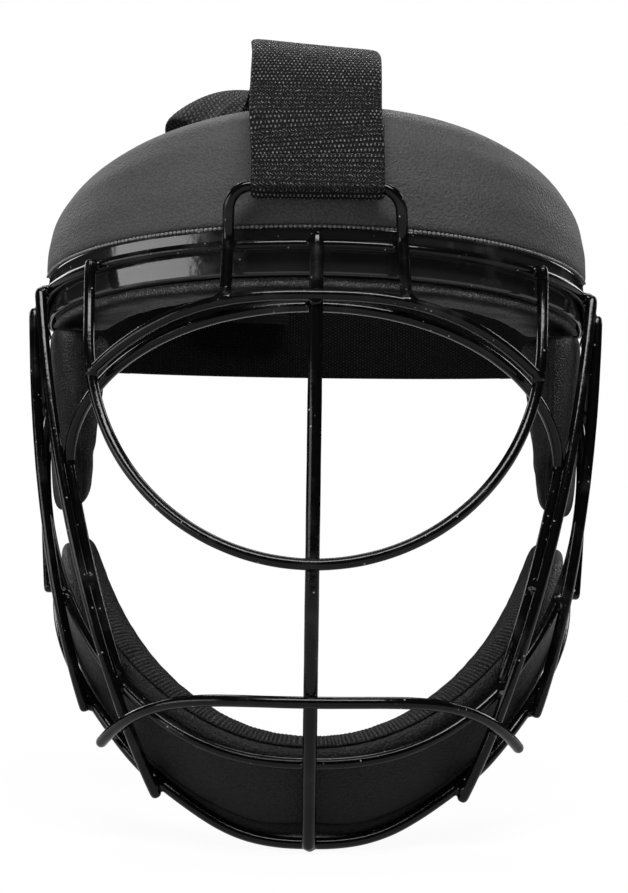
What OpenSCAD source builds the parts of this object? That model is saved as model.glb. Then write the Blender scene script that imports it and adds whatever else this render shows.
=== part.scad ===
// Hockey face cage: welded wire face guard with forehead, temple and chin padding and a head harness.
// Millimetres, +Z up. The face looks along -Y, and +X is the wearer's left.
// The origin lies midway between the temples, at eye level, where the head's centre sits.

/* [Cage form] */
// Width of the cage between the centre lines of its rearmost side wires
cage_w = 212; // [196:1:230]
// Depth from the temple line to the foremost point of the centre bar
cage_depth = 104; // [94:1:116]
// Height above eye level where the cage is widest
widest_z = 60; // [50:1:66]
// Height over which the sides would draw in to a point, below the widest place
jaw_reach = 230; // [215:1:260]
// Fullness of the jaw line, where 2 is an ellipse
jaw_fullness = 2.8; // [2.4:0.1:3.4]
// Height of the foremost point of the profile
nose_z = -50; // [-60:1:-40]
// How far the profile falls back over the first 100 mm above the nose
brow_lean = 13.4; // [8:0.2:18]
// How far the profile falls back over the first 50 mm below the nose
chin_lean = 8.5; // [4:0.2:11]

/* [Wires] */
// Diameter of the cage wires, coating included
wire_d = 4; // [3.2:0.1:4.8]
// Diameter of the upright centre bar
bar_d = 4.8; // [4:0.1:5.6]
// How far two wires sink into each other where they are welded
weld_sink = 0.3; // [0.1:0.05:0.5]
// Length of the cut ends that stand past the last weld
cut_end = 3; // [2:0.5:6]
// How far a wire's end stands past the middle of the wire that it is welded to
weld_end = 1; // [0.5:0.5:2]
// Height of the rim wire at the middle of the forehead
rim_z = 69.5; // [66:0.5:74]
// How far the rim wire falls from the forehead to the temples
rim_drop = 16; // [12:0.5:18]
// How much further the rim wire falls than the brow strip, from the forehead to the temples
rim_sag = 3.8; // [0:0.2:5]
// How much further the rim wire dips behind the front side wires
rear_dip = 9; // [6:0.5:12]
// Height of the brow wire at its middle
brow_z = 49.5; // [47:0.5:53]
// How far the brow wire falls to its ends
brow_drop = 24; // [18:1:28]
// Height of the face ring at its middle
ring_z = 48; // [44:1:52]
// Height where the face ring meets the front side wires
ring_side_z = -7; // [-12:1:0]
// Half-width of the eye wire at its legs
eye_half_w = 75.5; // [70:0.5:80]
// How far the eye wire's legs spread as they come in to the rim wire
eye_spread = 3.7; // [0:0.1:5]
// Height where the eye wire's legs turn into its curve
eye_leg_z = 37; // [30:1:42]
// Height of the lowest point of the eye wire
eye_low_z = -38.5; // [-44:0.5:-30]
// Height of the mouth wire at its middle
mouth_z = -83; // [-88:1:-76]
// Half-width of the mouth wire
mouth_half_w = 70; // [66:1:74]
// How far the mouth wire's ends fall
mouth_drop = 20; // [10:1:24]
// Height of the upper jaw wire at its middle
upper_jaw_z = -107.5; // [-110:0.5:-104]
// How far the upper jaw wire rises to the temple line
upper_jaw_rise = 106; // [100:1:112]
// How late the upper jaw wire rises, where 1 is a flat tilted hoop
upper_jaw_curl = 1.25; // [1:0.05:1.4]
// Height of the lower jaw wire at its middle
lower_jaw_z = -137.5; // [-142:0.5:-132]
// How far the lower jaw wire rises to the temple line
lower_jaw_rise = 79; // [74:1:84]
// How far the lower jaw wire stays down under the sides of the chin
lower_jaw_flat = 1.8; // [0:0.2:3]
// How much the lower jaw wire kicks up beside the chin
lower_jaw_kick = 4; // [0:0.5:6]

/* [Side wires] */
// Angle round the cage of the front side wire at the rim
front_top_angle = 72; // [68:1:76]
// Angle round the cage of the front side wire at the jaw
front_low_angle = 40; // [36:1:44]
// How far the front side wires bow back at mid-height, in degrees
front_bow = -2; // [-4:0.5:2]
// Angle round the cage of the middle side wire at the rim
middle_top_angle = 80; // [78:1:82]
// Angle round the cage of the middle side wire at the jaw
middle_low_angle = 60; // [55:1:62]
// How far the middle side wires bow back at mid-height, in degrees
middle_bow = -1.5; // [-4:0.5:2]
// Angle round the cage of the rear side wire at the rim
rear_angle = 89; // [87:1:90]
// Angle round the cage of the rear side wire at the jaw
rear_low_angle = 92; // [90:1:94]
// How far the rear side wires bow back at mid-height, in degrees
rear_bow = 7; // [4:0.5:8]

/* [Strap loop] */
// Half-width of the strap loop between the centre lines of its legs
loop_half_w = 28.5; // [27.5:0.5:34]
// How far the loop's legs spread towards the brow wire
loop_spread = 2; // [0:0.5:4]
// Height of the strap loop's top bar
loop_z = 87.5; // [86:0.5:92]
// How far the loop's top bar stands forward of the rim wire
loop_lean = 3.5; // [3:0.5:6]
// Bend radius of the strap loop's corners
loop_bend = 6; // [4:0.5:9]

/* [Brow strip] */
// Height of the flat brow strip above the rim wire's centre line
strip_top = 5.2; // [4:0.2:7]
// Height of the flat brow strip below the rim wire's centre line
strip_low = 11.3; // [9:0.1:13]
// Thickness of the flat brow strip
strip_t = 1.5; // [1:0.1:2.5]
// Distance of the harness rivets behind the temple line
rivet_y = 12; // [10:0.5:16]
// Shank diameter of the harness rivets
rivet_d = 5; // [4:0.1:6]
// Head diameter of the harness rivets
rivet_head_d = 10; // [9:0.5:12]

/* [Forehead pad] */
// Thickness of the forehead pad
pad_t = 16; // [12:0.5:20]
// Height of the forehead pad's top edge at its middle
pad_top_z = 118.5; // [110:0.5:126]
// How far the forehead pad's top edge falls to its ends
pad_fall = 36; // [30:1:40]
// How far the pad bulges past the strip's outer face
pad_lip = 0.8; // [0.4:0.1:1.6]
// How far the pad's top leans back
pad_lean = 15; // [8:1:20]
// Thickness of the leatherette liners
liner_t = 7; // [5:0.5:9]
// Height of the liner's lower edge at the middle of the forehead
roll_z = 52.5; // [50:0.5:55]
// How far the liner's lower edge falls towards the temples
roll_drop = 14; // [10:0.5:16]

/* [Temple pads] */
// Thickness of the temple pads at mid-height
temple_t = 16.5; // [14:0.5:20]
// How much thicker a temple pad is at its top than at mid-height
temple_flare = 4.5; // [0:0.5:6]
// Height of the temple pads' upper edge
temple_top_z = 40; // [34:1:40]
// Height of the temple pads' lower end
temple_low_z = -25; // [-30:1:-14]

/* [Chin pad] */
// Thickness of the chin pad
chin_t = 10; // [8:0.5:12]
// Width of the chin pad's band
chin_w = 32; // [26:1:34]
// How much further the chin pad reaches down under the chin than beside it
chin_under = 4; // [0:0.5:5]
// Height of the band's middle at the front, under the chin
chin_z = -120; // [-122:1:-117]
// How far the band's middle rises to the temple line
chin_rise = 85; // [80:1:90]
// How late the chin pad rises, where 1 is a flat tilted band
chin_curl = 1.1; // [1:0.05:1.2]
// Angle round the cage where the chin pad ends
chin_end_angle = 86; // [80:1:86]

/* [Harness] */
// Width of the top strap's webbing
top_strap_w = 45; // [38:1:50]
// Thickness of the webbing
webbing_t = 2.2; // [1.6:0.1:2.8]
// Height of the elastic back band
band_h = 42; // [36:1:48]
// Thickness of the elastic back band
band_t = 2.5; // [2:0.1:3]
// Distance of the back band behind the temple line
band_back = 106; // [98:1:114]
// Width of the short anchor webbing between rivet and ring
tab_w = 25; // [20:1:28]
// Wire thickness of the rectangular rings
ring_wire = 3.4; // [3:0.1:4]
// Gap between the upright bars of a ring
ring_gap = 10.6; // [10:0.2:14]
// Room in a ring above and below the band
ring_room = 1; // [0.5:0.5:3]
// Length of webbing between the strip's end and a ring
tab_reach = 12; // [9:1:20]
// Length of the folded ends of the back band
flap_l = 48; // [36:1:60]

/* [Clearances] */
// Gap between soft pieces and what they lie against
soft_gap = 0.3; // [0.2:0.05:0.5]
// Radial gap between the rivets and the webbing that turns on them
rivet_gap = 0.1; // [0.05:0.01:0.2]

/* [Hidden] */

wire_black = [0.02, 0.02, 0.022];
foam_grey = [0.16, 0.16, 0.165];
liner_black = [0.06, 0.06, 0.063];
webbing_grey = [0.13, 0.13, 0.135];
rivet_black = [0.05, 0.05, 0.052];
ring_grey = [0.1, 0.1, 0.1];

wire_sides = 10;
wire_r = wire_d / 2;
// Distance between the centre lines of two welded wires
layer = wire_d - weld_sink;

// The cage's surface: an ellipse at each height, wires inside it, on it and outside it

function smooth(t) = let (u = min(1, max(0, t))) u * u * (3 - 2 * u);
function unit(v) = v / norm(v);
function span(n) = [for (i = [0 : n]) i / n];

reach_limit = 0.98;
function half_w(z) =
    let (u = min(reach_limit, max(0, (widest_z - z) / jaw_reach)))
    cage_w / 2 * pow(1 - pow(u, jaw_fullness), 1 / jaw_fullness);

function half_depth(z) = cage_depth
    - (z > nose_z ? brow_lean * pow((z - nose_z) / 100, 2) : chin_lean * pow((nose_z - z) / 50, 2));

slope_step = 0.5;
function w_slope(z) = (half_w(z + slope_step) - half_w(z - slope_step)) / (2 * slope_step);
function d_slope(z) = (half_depth(z + slope_step) - half_depth(z - slope_step)) / (2 * slope_step);

function cage_normal(a, z) = let (w = half_w(z), d = half_depth(z))
    unit([d * sin(a), -w * cos(a), -(w * d_slope(z) * pow(cos(a), 2) + d * w_slope(z) * pow(sin(a), 2))]);

function cage_point(a, z, out = 0) =
    [half_w(z) * sin(a), -half_depth(z) * cos(a), z] + out * cage_normal(a, z);

// A station of a wire: its centre and the direction that points out of the cage
function at_angle(a, z, out = 0) = [cage_point(a, z, out), cage_normal(a, z)];
function at_x(x, z, out = 0) = at_angle(asin(x / half_w(z)), z, out);

// Skins: closed solids through rings of points that turn clockwise as the rings advance

module skin(rings) {
    n = len(rings[0]);
    last = len(rings) - 1;
    polyhedron(
        points = [for (ring = rings) each ring],
        faces = [
            [for (j = [0 : n - 1]) j],
            for (i = [0 : last - 1], j = [0 : n - 1]) each [
                [i * n + j, (i + 1) * n + j, i * n + (j + 1) % n],
                [i * n + (j + 1) % n, (i + 1) * n + j, (i + 1) * n + (j + 1) % n]],
            [for (j = [n - 1 : -1 : 0]) last * n + j]
        ]);
}

function reversed(list) = [for (i = [len(list) - 1 : -1 : 0]) list[i]];
function middle_of(ring) = [for (k = [0 : 2]) [for (p = ring) p[k]] * [for (p = ring) 1] / len(ring)];
// Draws a ring in towards its middle, for a rounded end
function drawn_in(ring, k) = let (m = middle_of(ring)) [for (p = ring) m + (p - m) * k];
// How far a cushion's section is drawn in near its end: t is 0 in the middle and 1 at the end
end_blunt = 0.06;
function end_roundness(t, sharpness = 10) = pow(max(end_blunt, 1 - pow(abs(t), sharpness)), 0.5);

function tangent(route, i) =
    unit(route[min(i + 1, len(route) - 1)][0] - route[max(i - 1, 0)][0]);

// A ring round a wire, with its flats at the wire's radius
function wire_ring(station, along, r) =
    let (side = unit(cross(along, station[1])), out = cross(side, along),
        corner_r = r / cos(180 / wire_sides))
    [for (j = [0 : wire_sides - 1]) let (turn = 360 * (j + 0.5) / wire_sides)
        station[0] + corner_r * (cos(turn) * out + sin(turn) * side)];

module wire(route, d = wire_d) {
    color(wire_black)
        skin([for (i = [0 : len(route) - 1]) wire_ring(route[i], tangent(route, i), d / 2)]);
}

// A half-round nose on both ends of a wire
nose_length = 0.28;
nose_width = 0.5;
function nosed(route, d) =
    let (n = len(route) - 1, a = tangent(route, 0), b = tangent(route, n))
    [[route[0][0] - a * d * nose_length, route[0][1], nose_width],
        for (s = route) [s[0], s[1], 1],
        [route[n][0] + b * d * nose_length, route[n][1], nose_width]];

module nosed_wire(route, d = wire_d) {
    ends = nosed(route, d);
    color(wire_black)
        skin([for (i = [0 : len(ends) - 1]) wire_ring(ends[i], tangent(ends, i), d / 2 * ends[i][2])]);
}

// Hoops round the cage: each lies inside the wires that it carries

// The rim wire dips behind this angle. The lower jaw wire stays down about flat_angle, and is
// raised between its two kick angles
dip_angle = 68;
dip_span = 24;
kick_angle = 44;
kick_span = 16;
kick_end_angle = 92;
kick_end_span = 24;
flat_angle = 22;
flat_end_angle = 40;
function strip_height(a) = rim_z - rim_drop * (1 - cos(a));
function rim_height(a) = strip_height(a) - rim_sag * (1 - cos(a))
    - rear_dip * smooth((abs(a) - dip_angle) / dip_span);
function upper_jaw_height(a) = upper_jaw_z + upper_jaw_rise * pow(1 - cos(a), upper_jaw_curl);
function lower_jaw_height(a) = lower_jaw_z + lower_jaw_rise * (1 - cos(a))
    - lower_jaw_flat * smooth(abs(a) / flat_angle)
    * smooth((flat_end_angle - abs(a)) / (flat_end_angle - flat_angle))
    + lower_jaw_kick * smooth((abs(a) - kick_angle) / kick_span)
    * smooth((kick_end_angle - abs(a)) / kick_end_span);

hoop_rings = 36;
hoop_end = 3;
rear_middle_angle = (rear_angle + rear_low_angle) / 2 + rear_bow;

function hoop_angles(end_angle) = [for (t = span(hoop_rings)) end_angle * (2 * t - 1)];
module hoop(end_angle, heights) {
    angles = hoop_angles(end_angle);
    wire([for (i = [0 : hoop_rings]) at_angle(angles[i], heights[i], -layer)]);
}

module rim_wire() {
    end = rear_angle + hoop_end;
    hoop(end, [for (a = hoop_angles(end)) rim_height(a)]);
}

module upper_jaw_wire() {
    end = rear_middle_angle + hoop_end / 2;
    hoop(end, [for (a = hoop_angles(end)) upper_jaw_height(a)]);
}

module lower_jaw_wire() {
    end = rear_low_angle + hoop_end;
    hoop(end, [for (a = hoop_angles(end)) lower_jaw_height(a)]);
}

// Front wires

bar_rings = 22;
bar_top_z = rim_z + bar_d / 2;
bar_low_z = lower_jaw_z + weld_end;
module centre_bar() {
    wire([for (t = span(bar_rings)) at_angle(0, bar_top_z + (bar_low_z - bar_top_z) * t)], bar_d);
}

brow_end_z = brow_z - brow_drop;
function eye_reach(z) = z > eye_leg_z ? eye_half_w
    : eye_half_w * sqrt(max(0, 1 - pow((eye_leg_z - z) / (eye_leg_z - eye_low_z), 2)));
eye_top_z = rim_height(asin((eye_half_w + eye_spread) / half_w(rim_z))) + weld_end;
// The eye wire stands on the outer layer, and its legs come in to the rim wire at the top
function eye_layer(z) = layer * (1 - smooth((z - brow_end_z) / (eye_top_z - wire_d - brow_end_z)));
// The place across the cage for an eye wire's point that would stand at x without its legs' spread
function eye_x(x, z) = x * (1 + eye_spread / eye_half_w * (1 - eye_layer(z) / layer));
eye_leg_rings = 8;
eye_curve_rings = 32;
eye_leg = [for (i = [0 : eye_leg_rings - 1]) eye_top_z + (eye_leg_z - eye_top_z) * i / eye_leg_rings];
module eye_wire() {
    wire([
        for (z = eye_leg) at_x(eye_x(-eye_half_w, z), z, eye_layer(z)),
        for (t = span(eye_curve_rings)) let (z = eye_leg_z - (eye_leg_z - eye_low_z) * sin(180 * t))
            at_x(eye_x(-eye_half_w * cos(180 * t), z), z, eye_layer(z)),
        for (z = reversed(eye_leg)) at_x(eye_x(eye_half_w, z), z, eye_layer(z))]);
}

brow_end_x = eye_reach(brow_end_z) - wire_r + weld_sink;
brow_sharpness = 2.8;
function brow_height(x) = brow_z - brow_drop * pow(abs(x) / brow_end_x, brow_sharpness);
brow_rings = 28;
module brow_wire() {
    wire([for (t = span(brow_rings)) let (x = brow_end_x * (2 * t - 1)) at_x(x, brow_height(x), layer)]);
}

mouth_sharpness = 4.6;
mouth_rings = 26;
module mouth_wire() {
    nosed_wire([for (t = span(mouth_rings)) let (x = mouth_half_w * sin(90 * (2 * t - 1)))
        at_x(x, mouth_z - mouth_drop * pow(abs(x) / mouth_half_w, mouth_sharpness), layer)]);
}

// Side wires run from the rim wire to the lower jaw wire

function side_angle(top_a, low_a, bow, t) = top_a + (low_a - top_a) * t + bow * 4 * t * (1 - t);
function side_top_z(top_a) = rim_height(top_a) + weld_end;
side_rings = 20;

module side_wire(side, top_a, low_a, bow, low_end) {
    top_z = side_top_z(top_a);
    low_z = lower_jaw_height(low_a) - low_end;
    wire([for (t = span(side_rings))
        at_angle(side * side_angle(top_a, low_a, bow, t), top_z + (low_z - top_z) * t)]);
}
module front_wire(side) { side_wire(side, front_top_angle, front_low_angle, front_bow, cut_end); }
module middle_wire(side) { side_wire(side, middle_top_angle, middle_low_angle, middle_bow, weld_end); }
module rear_wire(side) { side_wire(side, rear_angle, rear_low_angle, rear_bow, weld_end); }

module side_wire_front_left() { front_wire(1); }
module side_wire_front_right() { front_wire(-1); }
module side_wire_middle_left() { middle_wire(1); }
module side_wire_middle_right() { middle_wire(-1); }
module side_wire_rear_left() { rear_wire(1); }
module side_wire_rear_right() { rear_wire(-1); }

// The face ring arches over the brow and then runs down inside the front side wires to the upper jaw wire

front_top_z = side_top_z(front_top_angle);
front_low_z = lower_jaw_height(front_low_angle) - cut_end;
function front_angle(z) =
    side_angle(front_top_angle, front_low_angle, front_bow, (front_top_z - z) / (front_top_z - front_low_z));
function settle(z, n) = n == 0 ? z : settle(upper_jaw_height(front_angle(z)), n - 1);
settle_steps = 16;
ring_foot = 0.75;
ring_low_z = settle(ring_side_z, settle_steps) + layer * ring_foot;
ring_side_x = half_w(ring_side_z) * sin(front_angle(ring_side_z));
arch_rings = 28;
down_rings = 11;
ring_down = [for (i = [1 : down_rings]) ring_side_z + (ring_low_z - ring_side_z) * i / down_rings];
module face_ring_wire() {
    wire([
        for (z = reversed(ring_down)) at_angle(-front_angle(z), z, -layer),
        for (t = span(arch_rings))
            at_x(-ring_side_x * cos(180 * t), ring_side_z + (ring_z - ring_side_z) * sin(180 * t), -layer),
        for (z = ring_down) at_angle(front_angle(z), z, -layer)]);
}

// The strap loop is an inverted U on the rim wire, its feet behind the brow wire

loop_foot_z = brow_height(loop_half_w + loop_spread);
corner_rings = 6;
loop_leg_rings = 6;
loop_leg_h = loop_z - loop_bend - loop_foot_z;
loop_side = [
    for (t = span(loop_leg_rings)) [loop_half_w + loop_spread * (1 - t), loop_foot_z + loop_leg_h * t],
    for (i = [1 : corner_rings]) let (turn = 90 * i / corner_rings)
        [loop_half_w - loop_bend * (1 - cos(turn)), loop_z - loop_bend * (1 - sin(turn))]];
// The legs follow the cage up to the rim wire, and lean forward above it
function loop_leg_y(z) = let (h = min(z, rim_z)) -half_depth(h) * cos(asin(loop_half_w / half_w(h)))
    - loop_lean * smooth((z - rim_z) / (loop_z - rim_z));
loop_y = loop_leg_y(loop_z);
function loop_station(x, z) = [[x, loop_leg_y(z), z], [0, -1, 0]];
module strap_loop() {
    wire([
        for (p = loop_side) loop_station(-p[0], p[1]),
        for (p = reversed(loop_side)) loop_station(p[0], p[1])]);
}

// The brow strip is a flat band of steel inside the rim wire, from ear to ear

strip_out = -layer - wire_r + weld_sink;
strip_rings = 40;
strip_h = strip_top + strip_low;
function strip_plan(a) = let (w = half_w(strip_height(a)), d = half_depth(strip_height(a)))
    [[w * sin(a), -d * cos(a)], unit([d * sin(a), -w * cos(a)])];
function strip_point(a, out, z) = let (p = strip_plan(a), q = p[0] + out * p[1]) [q[0], q[1], z];
function strip_ring(a, back) = let (z = strip_height(a), to_rear = [0, back, 0])
    [strip_point(a, strip_out, z - strip_low) + to_rear,
        strip_point(a, strip_out - strip_t, z - strip_low) + to_rear,
        strip_point(a, strip_out - strip_t, z + strip_top) + to_rear,
        strip_point(a, strip_out, z + strip_top) + to_rear];
rivet_z = strip_height(90) + (strip_top - strip_low) / 2;
strip_tail = rivet_y + rivet_head_d;
bore_sides = 32;
module across_cylinder(d, from_x, to_x) {
    translate([from_x, rivet_y, rivet_z]) rotate([0, 90, 0])
        cylinder(d = d, h = to_x - from_x, $fn = bore_sides);
}
module brow_strip() {
    color(wire_black) difference() {
        skin([strip_ring(-90, strip_tail),
            for (t = span(strip_rings)) strip_ring(90 * (2 * t - 1), 0),
            strip_ring(90, strip_tail)]);
        across_cylinder(rivet_d, -cage_w, cage_w);
    }
}

// Forehead pad: stands on the strip, bulges over its upper edge and leans back towards its top

pad_out = strip_out + pad_lip;
pad_in = strip_out - strip_t - soft_gap;
pad_back = pad_in - pad_t;
pad_rings = 34;
pad_end_angle = 88;
pad_bevel = 3;
pad_waist = 0.55;
pad_back_lean = 0.4;
// The corner where the pad's front stands on the strip: its depth and its height
pad_foot = [0.6, 1.5];
// Up the pad's front: the share of the lean that is reached at a share of the height
pad_crown = [[0.02, 0.35], [0.28, 0.7]];
pad_brow = 0.75;
pad_top_bevel = [2, 1];
pad_end_sharpness = 30;
function pad_top(a) = pad_top_z - pad_fall * (1 - cos(a));
function pad_shelf(a) = strip_height(a) + strip_top + soft_gap;
function pad_lean_at(a) = pad_lean * (pad_top(a) - pad_shelf(a)) / (pad_top_z - rim_z);
// The pad's inner face leans back from the shelf upwards
function pad_inner(a, z) = let (rise = (z - pad_shelf(a)) / (pad_top(a) - pad_shelf(a)) / pad_waist)
    pad_back - pad_back_lean * pad_lean_at(a) * min(1, max(0, rise));
function pad_ring(a) =
    let (low = strip_height(a) - strip_low, shelf = pad_shelf(a),
        top = pad_top(a), h = top - shelf, lean = pad_lean_at(a))
    [for (p = [[pad_in, low], [pad_in, shelf],
        [pad_out - pad_foot[0], shelf], [pad_out, shelf + pad_foot[1]],
        for (c = pad_crown) [pad_out - lean * c[0], shelf + h * c[1]],
        [pad_out - lean * pad_brow, top - pad_bevel], [pad_out - lean - pad_bevel, top],
        [pad_back - lean + pad_bevel + pad_top_bevel[0], top],
        [pad_back - lean + pad_top_bevel[1], top - pad_bevel],
        [pad_inner(a, top), shelf + h * pad_waist], [pad_back, shelf], [pad_back, low]])
        strip_point(a, p[0], p[1])];
module forehead_pad() {
    color(foam_grey)
        skin(reversed([for (t = span(pad_rings)) let (u = 2 * t - 1)
            drawn_in(pad_ring(pad_end_angle * u), end_roundness(u, pad_end_sharpness))]));
}

// Forehead liner: a cushion against the forehead, with a roll that hangs below the strip

liner_rings = 34;
liner_end_angle = 84;
liner_cover = 0.5;
roll_least = 3;
// The roll's front: how far it stands past the pad's inner face at its belly, and how it turns under
roll_belly = [0.4, 0.35];
roll_under = [0.6, 0.2];
roll_low = 3.5;
// The cushion's face against the skin, as shares of its thickness or of the roll
face_low = 0.4;
face_belly = [0.1, 0.5];
face_rise = 4;
face_top = [0.85, 0.55];
// The section's thickness, roll and height shrink by k towards the ends
function liner_ring(a, k) =
    let (back = pad_back - soft_gap, t = liner_t * k, face = back - t,
        shelf = strip_height(a) - strip_low - soft_gap,
        roll = k * max(roll_least, shelf - roll_z + roll_drop * (1 - cos(a))), low = shelf - roll,
        top = pad_shelf(a) + (pad_top(a) - pad_shelf(a)) * liner_cover * k,
        tip = pad_inner(a, top) - soft_gap, middle = (tip + back) / 2)
    [for (p = [[back, shelf], [pad_in - 1, shelf], [pad_in + roll_belly[0], shelf - roll * roll_belly[1]],
        [pad_in - roll_under[0], low + roll * roll_under[1]], [pad_in - roll_low, low],
        [face + t * face_low, low],
        [face + t * face_belly[0], low + roll * face_belly[1]], [face, shelf + face_rise],
        [middle - t, (shelf + top) / 2], [tip - t * face_top[0], top - face_rise * k],
        [tip - t * face_top[1], top], [tip, top - k], [back, pad_shelf(a)]])
        strip_point(a, p[0], p[1])];
module forehead_liner() {
    color(liner_black)
        skin([for (t = span(liner_rings)) let (u = 2 * t - 1)
            liner_ring(liner_end_angle * u, end_roundness(u))]);
}

// Temple pads: crowned cushions inside the side wires and the upper jaw wire

temple_front_angle = 60;
temple_rear_angle = 89;
temple_rings = 16;
temple_cols = 8;
temple_out = -layer - wire_r - soft_gap;
temple_edge = 4;
// How far the outer face falls away at the pad's long edges and at its ends
temple_side_fall = 1.5;
temple_end_fall = 2;
temple_end_sharpness = 4;
temple_crown_sharpness = 3;
function temple_row(side, v) =
    let (z = temple_low_z + (temple_top_z - temple_low_z) * (v + 1) / 2,
        k = end_roundness(v, temple_end_sharpness),
        mid = (temple_front_angle + temple_rear_angle) / 2,
        half = (temple_rear_angle - temple_front_angle) / 2,
        thick = temple_t + temple_flare * v)
    [
        for (u = [for (t = span(temple_cols)) 2 * t - 1])
            cage_point(side * (mid + u * half * k), z,
                temple_out - temple_side_fall * pow(u, 4) - temple_end_fall * (1 - k)),
        for (u = [for (t = span(temple_cols)) 1 - 2 * t])
            cage_point(side * (mid + u * half * k), z,
                temple_out - temple_edge
                    - (thick - temple_edge) * end_roundness(u, temple_crown_sharpness) * k)];
module temple_pad(side) {
    rows = [for (t = span(temple_rings)) temple_row(side, 1 - 2 * t)];
    color(liner_black) skin(side > 0 ? reversed(rows) : rows);
}
module temple_pad_left() { temple_pad(1); }
module temple_pad_right() { temple_pad(-1); }

// Chin pad and its liner: a band that follows the jaw, inside both jaw wires

chin_out = -layer - wire_r - soft_gap;
chin_rings = 36;
chin_bevel = 3;
chin_crown = 0.4;
chin_end_sharpness = 14;
chin_under_angle = 50;
function chin_height(a) = chin_z + chin_rise * pow(1 - cos(a), chin_curl);
function chin_frame(a) =
    let (p = cage_point(a, chin_height(a)), q = cage_point(a + slope_step, chin_height(a + slope_step)),
        along = unit(q - p), n = cage_normal(a, chin_height(a)), up = unit(cross(along, n)))
    [p, n, up[2] < 0 ? -up : up];
// A place on the band: v across its width, out along its thickness
function chin_place(a, v, out) = let (f = chin_frame(a)) f[0] + f[1] * out + f[2] * v;
function chin_ring(a) =
    let (h = chin_w / 2 * end_roundness(a / chin_end_angle, chin_end_sharpness), b = chin_bevel,
        o = chin_out, i = chin_out - chin_t,
        low = -h - chin_under * smooth(1 - abs(a) / chin_under_angle))
    [for (p = [[low + b, o - chin_crown], [0, o], [h - b, o - chin_crown], [h, o - b], [h, i + b],
        [h - b, i], [low + b, i], [low, i + b], [low, o - b]])
        chin_place(a, p[0], p[1])];
module chin_pad() {
    color(foam_grey)
        skin(reversed([for (t = span(chin_rings)) chin_ring(chin_end_angle * (2 * t - 1))]));
}

chin_liner_edge = 3;
liner_outer_bevel = [1.5, 2];
liner_inner_bevel = [3.5, 3];
function chin_liner_ring(a) =
    let (h = (chin_w / 2 - chin_liner_edge) * end_roundness(a / chin_end_angle),
        o = chin_out - chin_t - 2 * soft_gap, i = o - liner_t, b = liner_outer_bevel, c = liner_inner_bevel)
    [for (p = [[-h + b[0], o], [h - b[0], o], [h, o - b[1]], [h, i + c[1]],
        [h - c[0], i + chin_crown], [0, i], [-h + c[0], i + chin_crown],
        [-h, i + c[1]], [-h, o - b[1]]])
        chin_place(a, p[0], p[1])];
module chin_liner() {
    color(liner_black)
        skin(reversed([for (t = span(chin_rings))
            chin_liner_ring(chin_end_angle * (2 * t - 1))]));
}

// Top strap: webbing that wraps the loop's bar, rises over the head and runs down to the back band

wrap_r = wire_r + soft_gap + webbing_t / 2;
wrap_steps = 8;
// From the crest over the head to the tab inside the back band: the webbing's centre, its roll in
// degrees, and how far its edges fall below its middle
crest_rear_y = -5;
// How far the crest starts behind the face's foremost point, and the 77 parts into which it is divided
crest_setback = 22;
crest_parts = 77;
function crest_y(part) = let (front = crest_setback - cage_depth)
    front + (crest_rear_y - front) * part / crest_parts;
top_strap_route = [
    [-1, crest_y(0), 112, 0, 0], [-1, crest_y(8), 126, 0, 0], [-1, crest_y(21), 137, -3, 0],
    [-2, crest_y(38), 142, -5, 0], [-2, crest_y(52), 139, -3, 1], [-4, crest_y(65), 132, 0, 3],
    [-11, crest_y(77), 130, 0, 6], [-23, 8, 134, 0, 10],
    [-33, 22, 137, 0, 12], [-38, 37, 134, 0, 10], [-38, 53, 125, 0, 7], [-37, 69, 110, 4, 4],
    [-35, 82, 92, 8, 2], [-33, 90, 76, 12, 1], [-33, 91, 64, 13, 0], [-33, 90, 52, 13, 0]];
across_steps = 6;
tail_l = 22;
// How far the webbing has left the bar's sides at the tail's end and middle, and in front
tail_end_gap = 4.5;
tail_middle_gap = 1.5;
front_gap = 2.5;
module top_strap() {
    stations = [
        [[0, loop_y + wrap_r + tail_end_gap, loop_z + tail_l], 0, 0],
        [[0, loop_y + wrap_r + tail_middle_gap, loop_z + tail_l / 2], 0, 0],
        for (t = span(wrap_steps))
            [[0, loop_y + wrap_r * cos(180 * t), loop_z - wrap_r * sin(180 * t)], 0, 0],
        [[0, loop_y - wrap_r + front_gap, loop_z + tail_l / 2], 0, 0],
        for (p = top_strap_route) [[p[0], p[1], p[2]], p[3], p[4]]];
    rings = [for (i = [0 : len(stations) - 1])
        let (along = tangent(stations, i), flat = unit([1, 0, 0] - along * along[0]),
            up = cross(flat, along),
            across = flat * cos(stations[i][1]) + up * sin(stations[i][1]), out = cross(across, along),
            c = stations[i][0], fall = stations[i][2], w = top_strap_w / 2, h = webbing_t / 2)
        [for (t = span(across_steps)) let (u = 2 * t - 1) c + across * w * u - out * (h + fall * u * u),
            for (t = span(across_steps)) let (u = 1 - 2 * t)
                c + across * w * u + out * (h - fall * u * u)]];
    color(webbing_grey) skin(reversed(rings));
}

// Ribbons: flat straps seen from above, as an outline at half the thickness to each side of a route

function ribbon_side(route, i) =
    let (d = unit(route[min(i + 1, len(route) - 1)] - route[max(i - 1, 0)])) [-d[1], d[0]];
function ribbon(route, t) = [
    for (i = [0 : len(route) - 1]) route[i] + ribbon_side(route, i) * t / 2,
    for (i = [len(route) - 1 : -1 : 0]) route[i] - ribbon_side(route, i) * t / 2];
function arc(centre, r, from, to, n) = [for (t = span(n)) let (a = from + (to - from) * t)
    centre + r * [cos(a), sin(a)]];
function mirrored(route) = [for (p = route) [-p[0], p[1]]];
module on_side(side) { mirror([side > 0 ? 0 : 1, 0, 0]) children(); }

// Anchor tabs: webbing that turns on the rivets and loops round the front bars of the rings

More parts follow.
